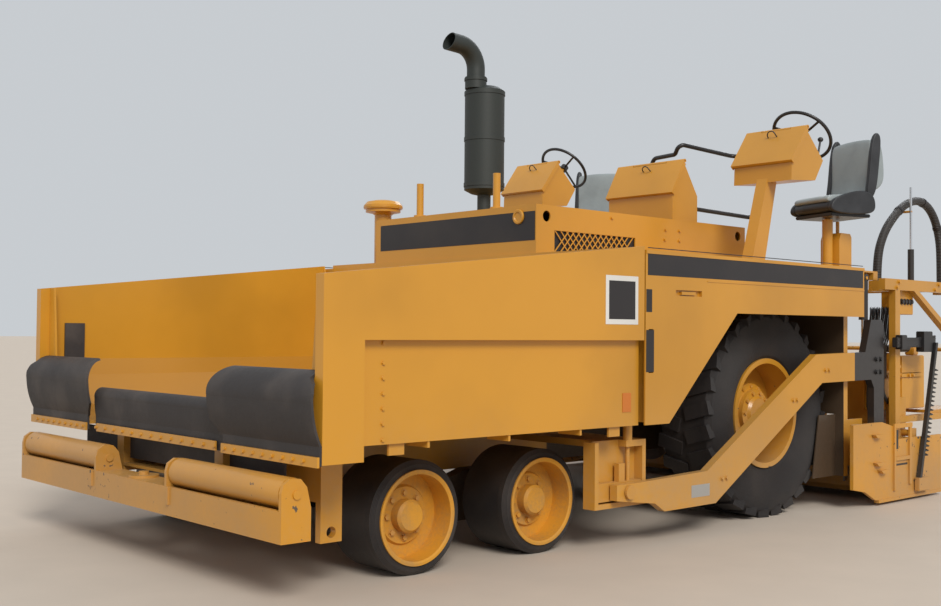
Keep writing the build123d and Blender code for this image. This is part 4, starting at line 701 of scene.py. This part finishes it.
# Operators' seats
# Bucket seats in grey vinyl with thick black side bolsters on a black steel pan. Each pad is
# stitched from an outline swept across its width, puffed up and tucked in at the ends.
SEAT_STATION, SEAT_Y, PAN_Z = 4700, 1150, 2033
SEAT_OUTLINES = {
    "cushion": [
        (158, 22), (176, 70), (150, 118), (40, 130), (-60, 134),
        (-150, 138), (-228, 122), (-240, 60), (-225, 24), (-60, 20),
    ],
    "panel": [
        (150, 84), (176, 118), (150, 152), (40, 160), (-60, 163), (-150, 166), (-225, 150), (-228, 100),
    ],
    "bolster": [
        (150, 20), (166, 70), (128, 124), (10, 164), (-80, 188),
        (-160, 190), (-232, 158), (-248, 80), (-228, 24), (-60, 16),
    ],
    "back": [
        (-176, 118), (-226, 112), (-248, 190), (-258, 300), (-262, 420),
        (-262, 556), (-236, 584), (-206, 574), (-200, 400), (-202, 240),
    ],
    "edge": [
        (-158, 150), (-214, 120), (-252, 200), (-268, 320), (-284, 460),
        (-296, 590), (-268, 622), (-222, 600), (-196, 430), (-184, 260),
    ],
    "shell": [
        (-238, 205), (-272, 190), (-322, 225), (-352, 275), (-346, 400),
        (-330, 520), (-304, 572), (-262, 552), (-250, 420), (-240, 300),
    ],
}
PAD_STEPS = (-1.0, -0.96, -0.8, -0.4, 0.0, 0.4, 0.8, 0.96, 1.0)
END_TUCK = 0.10
PAN_EDGES = ((0.13, -0.2), (0.13, 0.2), (-0.22, 0.2), (-0.22, -0.2))


def seat_place(side):
    # The top of a seat's post, and its turn of 20 degrees towards the middle of the machine.
    return at(SEAT_STATION, side * SEAT_Y, PAN_Z), Matrix.Rotation(radians(-20 * side), 4, "Z")


def pad(name, side, outline, l0, l1, crown, material, body):
    # Outline points are (ahead of the post, above the pan) in millimetres, l0 to l1 the width.
    post, turn = seat_place(side)
    count = len(outline)
    middle = Vector((sum(p[0] for p in outline), sum(p[1] for p in outline))) / count
    shape = bmesh.new()
    loops = []
    for step in PAD_STEPS:
        swell = 1 - crown * abs(step) ** 3 - (END_TUCK if abs(step) == 1 else 0)
        across = (l0 + l1) / 2 + (l1 - l0) / 2 * step
        loop = []
        for ahead, up in outline:
            f = middle.x + (ahead - middle.x) * swell
            u = middle.y + (up - middle.y) * swell
            loop.append(shape.verts.new(post + turn @ Vector((f / 1000, across / 1000, u / 1000))))
        loops.append(loop)
    for first, second in zip(loops, loops[1:]):
        for k in range(count):
            n = (k + 1) % count
            shape.faces.new((first[k], first[n], second[n], second[k]))
    shape.faces.new(loops[0])
    shape.faces.new(loops[-1])
    bmesh.ops.recalc_face_normals(shape, faces=shape.faces)
    piece = add_piece(name, mesh_from(name, shape, True), material, body)
    smooth = piece.modifiers.new("smooth", "SUBSURF")
    smooth.levels = smooth.render_levels = 3
    return piece


grey_vinyl = vinyl("grey_vinyl", (0.30, 0.34, 0.35, 1), 0.82)
PADS = (
    ("cushion", "cushion", -200, 200, 0.10, black_vinyl),
    ("panel", "panel", -192, 192, 0.08, grey_vinyl),
    ("back", "back", -206, 206, 0.07, grey_vinyl),
    ("shell", "shell", -200, 200, 0.06, grey_vinyl),
    ("bolster_inner", "bolster", -234, -186, 0.06, black_vinyl),
    ("edge_inner", "edge", -226, -194, 0.06, black_vinyl),
    ("bolster_outer", "bolster", 186, 234, 0.06, black_vinyl),
    ("edge_outer", "edge", 194, 226, 0.06, black_vinyl),
)
for name, side in SIDES:
    seat = "seat_" + name
    parts = [
        pad(f"seat_{piece}_{name}", side, SEAT_OUTLINES[outline], l0, l1, crown, cover, seat)
        for piece, outline, l0, l1, crown, cover in PADS
    ]
    post, turn = seat_place(side)
    corners = [post + turn @ Vector((ahead, left, 0.001)) for ahead, left in PAN_EDGES]
    pan = slab("seat_pan_" + name, seat, black_paint, corners, Vector((0, 0, 0.024)), 0.006)
    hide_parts(seat)


# Hose and mast
# A thick hydraulic hose in spiral guard arches over the screed's left mast, with dark tie
# bands along it. The mast is a chrome rod in a black sleeve.
HOSE = [
    (5232, 1600), (5232, 1790), (5340, 1975), (5480, 2095), (5650, 2205), (5860, 2262),
    (6040, 2225), (6160, 2130), (6235, 1990), (6262, 1840), (6262, 1600),
]
HOSE_Y, MAST_STATION, MAST_Y = 1250, 5640, 1310
MAST = (("mast_sleeve", 23.5, 1602, 1854, black_paint), ("mast_rod", 9.6, 1853, 2334, chrome))
HOSE_TIE = [(31, -11), (35.5, -11), (35.5, 11), (31, 11)]
skin = Finish("hose_rubber")
wrap = skin.waves("Z", 26.0, 0.6)
fine = skin.noise(60.0, 3.0)
base = skin.blend(fine * 0.3, (0.020, 0.018, 0.018, 1), (0.11, 0.09, 0.075, 1))
relief = skin.bump(wrap * 0.003 + fine * 0.0005)
hose_rubber = skin.close(Base_Color=base, Roughness=fine * 0.15 + 0.42, Normal=relief)
hose_points = [at(station, HOSE_Y, z) for station, z in HOSE]
hose = round_line("hose_line", hose_points, 0.032, sides=6, steps=10)
hose.data.materials.append(hose_rubber)
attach(hose, "screed")
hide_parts("hose_arch")
for number, (start, end) in enumerate(((3, 4), (5, 6), (7, 8)), 1):
    run = hose_points[end] - hose_points[start]
    middle = (hose_points[end] + hose_points[start]) / 2
    turned_piece(f"hose_tie_{number}", "screed", band, HOSE_TIE, middle, run)
for piece, radius, low, high, material in MAST:
    rise = high - low
    tube = [(0.5, 0), (radius, 0), (radius, rise - 1), (radius - 1, rise), (0.5, rise)]
    turned_piece(piece, "screed", material, tube, at(MAST_STATION, MAST_Y, low), (0, 0, 1))
at(5232, 1250, 1600)


# Screed fittings
# Black hydraulic lines run down the front of each guard post to a valve block, and behind
# them stand the screed's gear boxes, a cylinder and a control box. Each end gate carries
# ribs, lugs, a black sensor beam with its cables, and a sprung strut on a foot.
GATE_FACE_Y = 1545
LINES = (
    (1410, 5020, 760), (1380, 5012, 820), (1350, 5026, 700),
    (1318, 5010, 880), (1290, 5030, 640), (1262, 5016, 940),
)
RIBS = ((4905, 4930, 90, 562), (4930, 5170, 530, 562), (5130, 5160, 120, 530), (4930, 5130, 300, 326))
SHADE_SLOTS = ((4938, 4984, 380, 516), (4938, 5118, 262, 276))
GEAR = (
    (5082, 5176, 1290, 1385, 640, 930, paint), (5100, 5156, 1310, 1366, 930, 1040, paint),
    (5236, 5326, 1260, 1385, 640, 1060, paint), (5370, 5440, 1280, 1385, 640, 985, paint),
    (5330, 5690, 1352, 1392, 640, 1040, paint), (5560, 5640, 1300, 1370, 1040, 1100, paint),
    (5060, 5640, 1386, 1398, 872, 912, paint), (5070, 5660, 1225, 1240, 640, 960, paint),
    (5180, 5236, 1300, 1350, 640, 800, black_paint),
)
RAIL_BOLTS = (5100, 5158, 5252, 5310, 5430, 5490)
GEAR_BOLTS = ((5104, 700), (5154, 700), (5256, 700), (5306, 700), (5256, 960), (5306, 960))
GUARD_BOLTS = ((5070, 1540), (5100, 1580), (5660, 1540), (5720, 1580), (6200, 1540), (6200, 1120))
LUGS = ((4659, 500), (4678, 305), (4740, 250))
LUG_EDGES = ((-55, 0), (55, 0), (24, -24), (-24, -24))
STRUT_EDGES = ((5234, 150), (5270, 150), (5526, 1140), (5490, 1140))
CABLES = ((1172, 20), (1186, 34), (1100, -24))
CABLE_STATIONS = (5556, 5440, 5320, 5200, 5090, 4985)


def coil(name, start, end, radius, turns, thick, material, body):
    # A wire spring wound round the line from start to end, ten points to a turn.
    run = end - start
    turn = run.to_track_quat("Z", "Y").to_matrix()
    points = []
    for step in range(turns * 10 + 1):
        angle = 2 * pi * step / 10
        spot = Vector((cos(angle) * radius, sin(angle) * radius, run.length * step / (turns * 10)))
        points.append(start + turn @ spot)
    return pipe(name, points, thick, material, body)


def box_piece(name, body, material, side, stations, ys, heights, round_off=0.004):
    # A box between two stations, two distances from the middle and two heights.
    (s0, s1), (z0, z1) = stations, heights
    y0, y1 = sorted(side * y for y in ys)
    corners = [at(s0, y0, z0), at(s1, y0, z0), at(s1, y1, z0), at(s0, y1, z0)]
    return slab(name, body, material, corners, Vector((0, 0, (z1 - z0) / 1000)), round_off)


for name, side in SIDES:
    out, gate = Vector((0, side, 0)), "end_gate_" + name
    for number, (y, s, low) in enumerate(LINES, 1):
        bends = (
            (5200, y - 40, 1390), (5165, y - 20, 1384), (5130, y, 1345), (5108, y, 1250), (5086, y + 4, 1180),
            (s + 20, y, 1105), (s, y - 4, low + 70), (s, y, low), (s + 70, y, low - 60),
        )
        line = [at(station, side * across, z) for station, across, z in bends]
        pipe(f"hydraulic_line_{name}_{number}", line, 0.013, black_paint, "screed")
    box_piece("valve_block_" + name, "screed", black_paint, side, (4990, 5048), (1255, 1425), (880, 1120))
    clips = [(at(4990, side * y, z), AHEAD) for y in (1280, 1340, 1400) for z in (920, 1000, 1080)]
    bolts("valve_block_bolts_" + name, "screed", clips, 22, black_paint)
    strut = [at(s, side * 1553, z) for s, z in STRUT_EDGES]
    slab("spring_strut_" + name, gate, black_paint, strut, out * 0.030, 0.003)
    spring_foot, spring_head = at(5338, side * 1566, 300), at(5505, side * 1566, 950)
    coil("strut_spring_" + name, spring_foot, spring_head, 0.020, 20, 0.005, black_paint, gate)
    box_piece("sensor_beam_" + name, gate, black_paint, side, (4968, 5560), (1506, 1546), (1104, 1176))
    box_piece("sensor_head_" + name, gate, black_paint, side, (5330, 5470), (1504, 1566), (1070, 1222))
    box_piece("sensor_clamp_" + name, gate, black_paint, side, (5020, 5100), (1504, 1556), (1090, 1194))
    for number, (lift, bow) in enumerate(CABLES, 1):
        cable = [at(s, side * 1540, lift - 0.2 * bow * k) for k, s in enumerate(CABLE_STATIONS)]
        pipe(f"sensor_cable_{name}_{number}", cable, 0.008, black_paint, gate)
    for number, rib in enumerate(RIBS, 1):
        side_plate(f"gate_rib_{name}_{number}", gate, rubbed_paint, side, *rib, GATE_FACE_Y, 14)
    # Dark plates painted as the shade in the gate's recessed openings.
    for number, slot in enumerate(SHADE_SLOTS, 1):
        side_plate(f"gate_slot_shade_{name}_{number}", gate, band, side, *slot, GATE_FACE_Y, 1)
    box_piece("strut_foot_" + name, gate, rubbed_paint, side, (5210, 5372), (1551, 1588), (62, 158))
    for number, (s0, s1, y0, y1, z0, z1, finish) in enumerate(GEAR, 1):
        box_piece(f"screed_gear_{name}_{number}", "screed", finish, side, (s0, s1), (y0, y1), (z0, z1), 0.006)
    barrel = [at(s, side * 1335, 1094) for s in (5190, 5520)]
    pipe("gear_cylinder_" + name, barrel, 0.030, black_paint, "screed", False)
    rod = [at(s, side * 1335, 1094) for s in (5519, 5600)]
    pipe("gear_cylinder_rod_" + name, rod, 0.014, chrome, "screed", False)
    gear_bolts = [(at(s, side * 1398, 892), out) for s in RAIL_BOLTS]
    gear_bolts += [(at(s, side * 1385, z), out) for s, z in GEAR_BOLTS]
    bolts("screed_gear_bolts_" + name, "screed", gear_bolts, 22, paint)
    box_piece("control_box_" + name, "screed", paint, side, (5200, 5420), (1300, 1438), (1345, 1515))
    knobs = [(at(5240 + 46 * k, side * 1438, 1440), out) for k in range(4)]
    bolts("control_knobs_" + name, "screed", knobs, 30, black_paint)
    for number, (s, z) in enumerate(LUGS, 1):
        lug = [at(s + d, side * GATE_FACE_Y, z + r) for d, r in LUG_EDGES]
        slab(f"gate_lug_{name}_{number}", gate, rubbed_paint, lug, out * 0.032)
    frame_bolts = [(at(s, side * 1490, z), out) for s, z in GUARD_BOLTS]
    bolts("guard_bolts_" + name, "screed", frame_bolts, 22, paint)
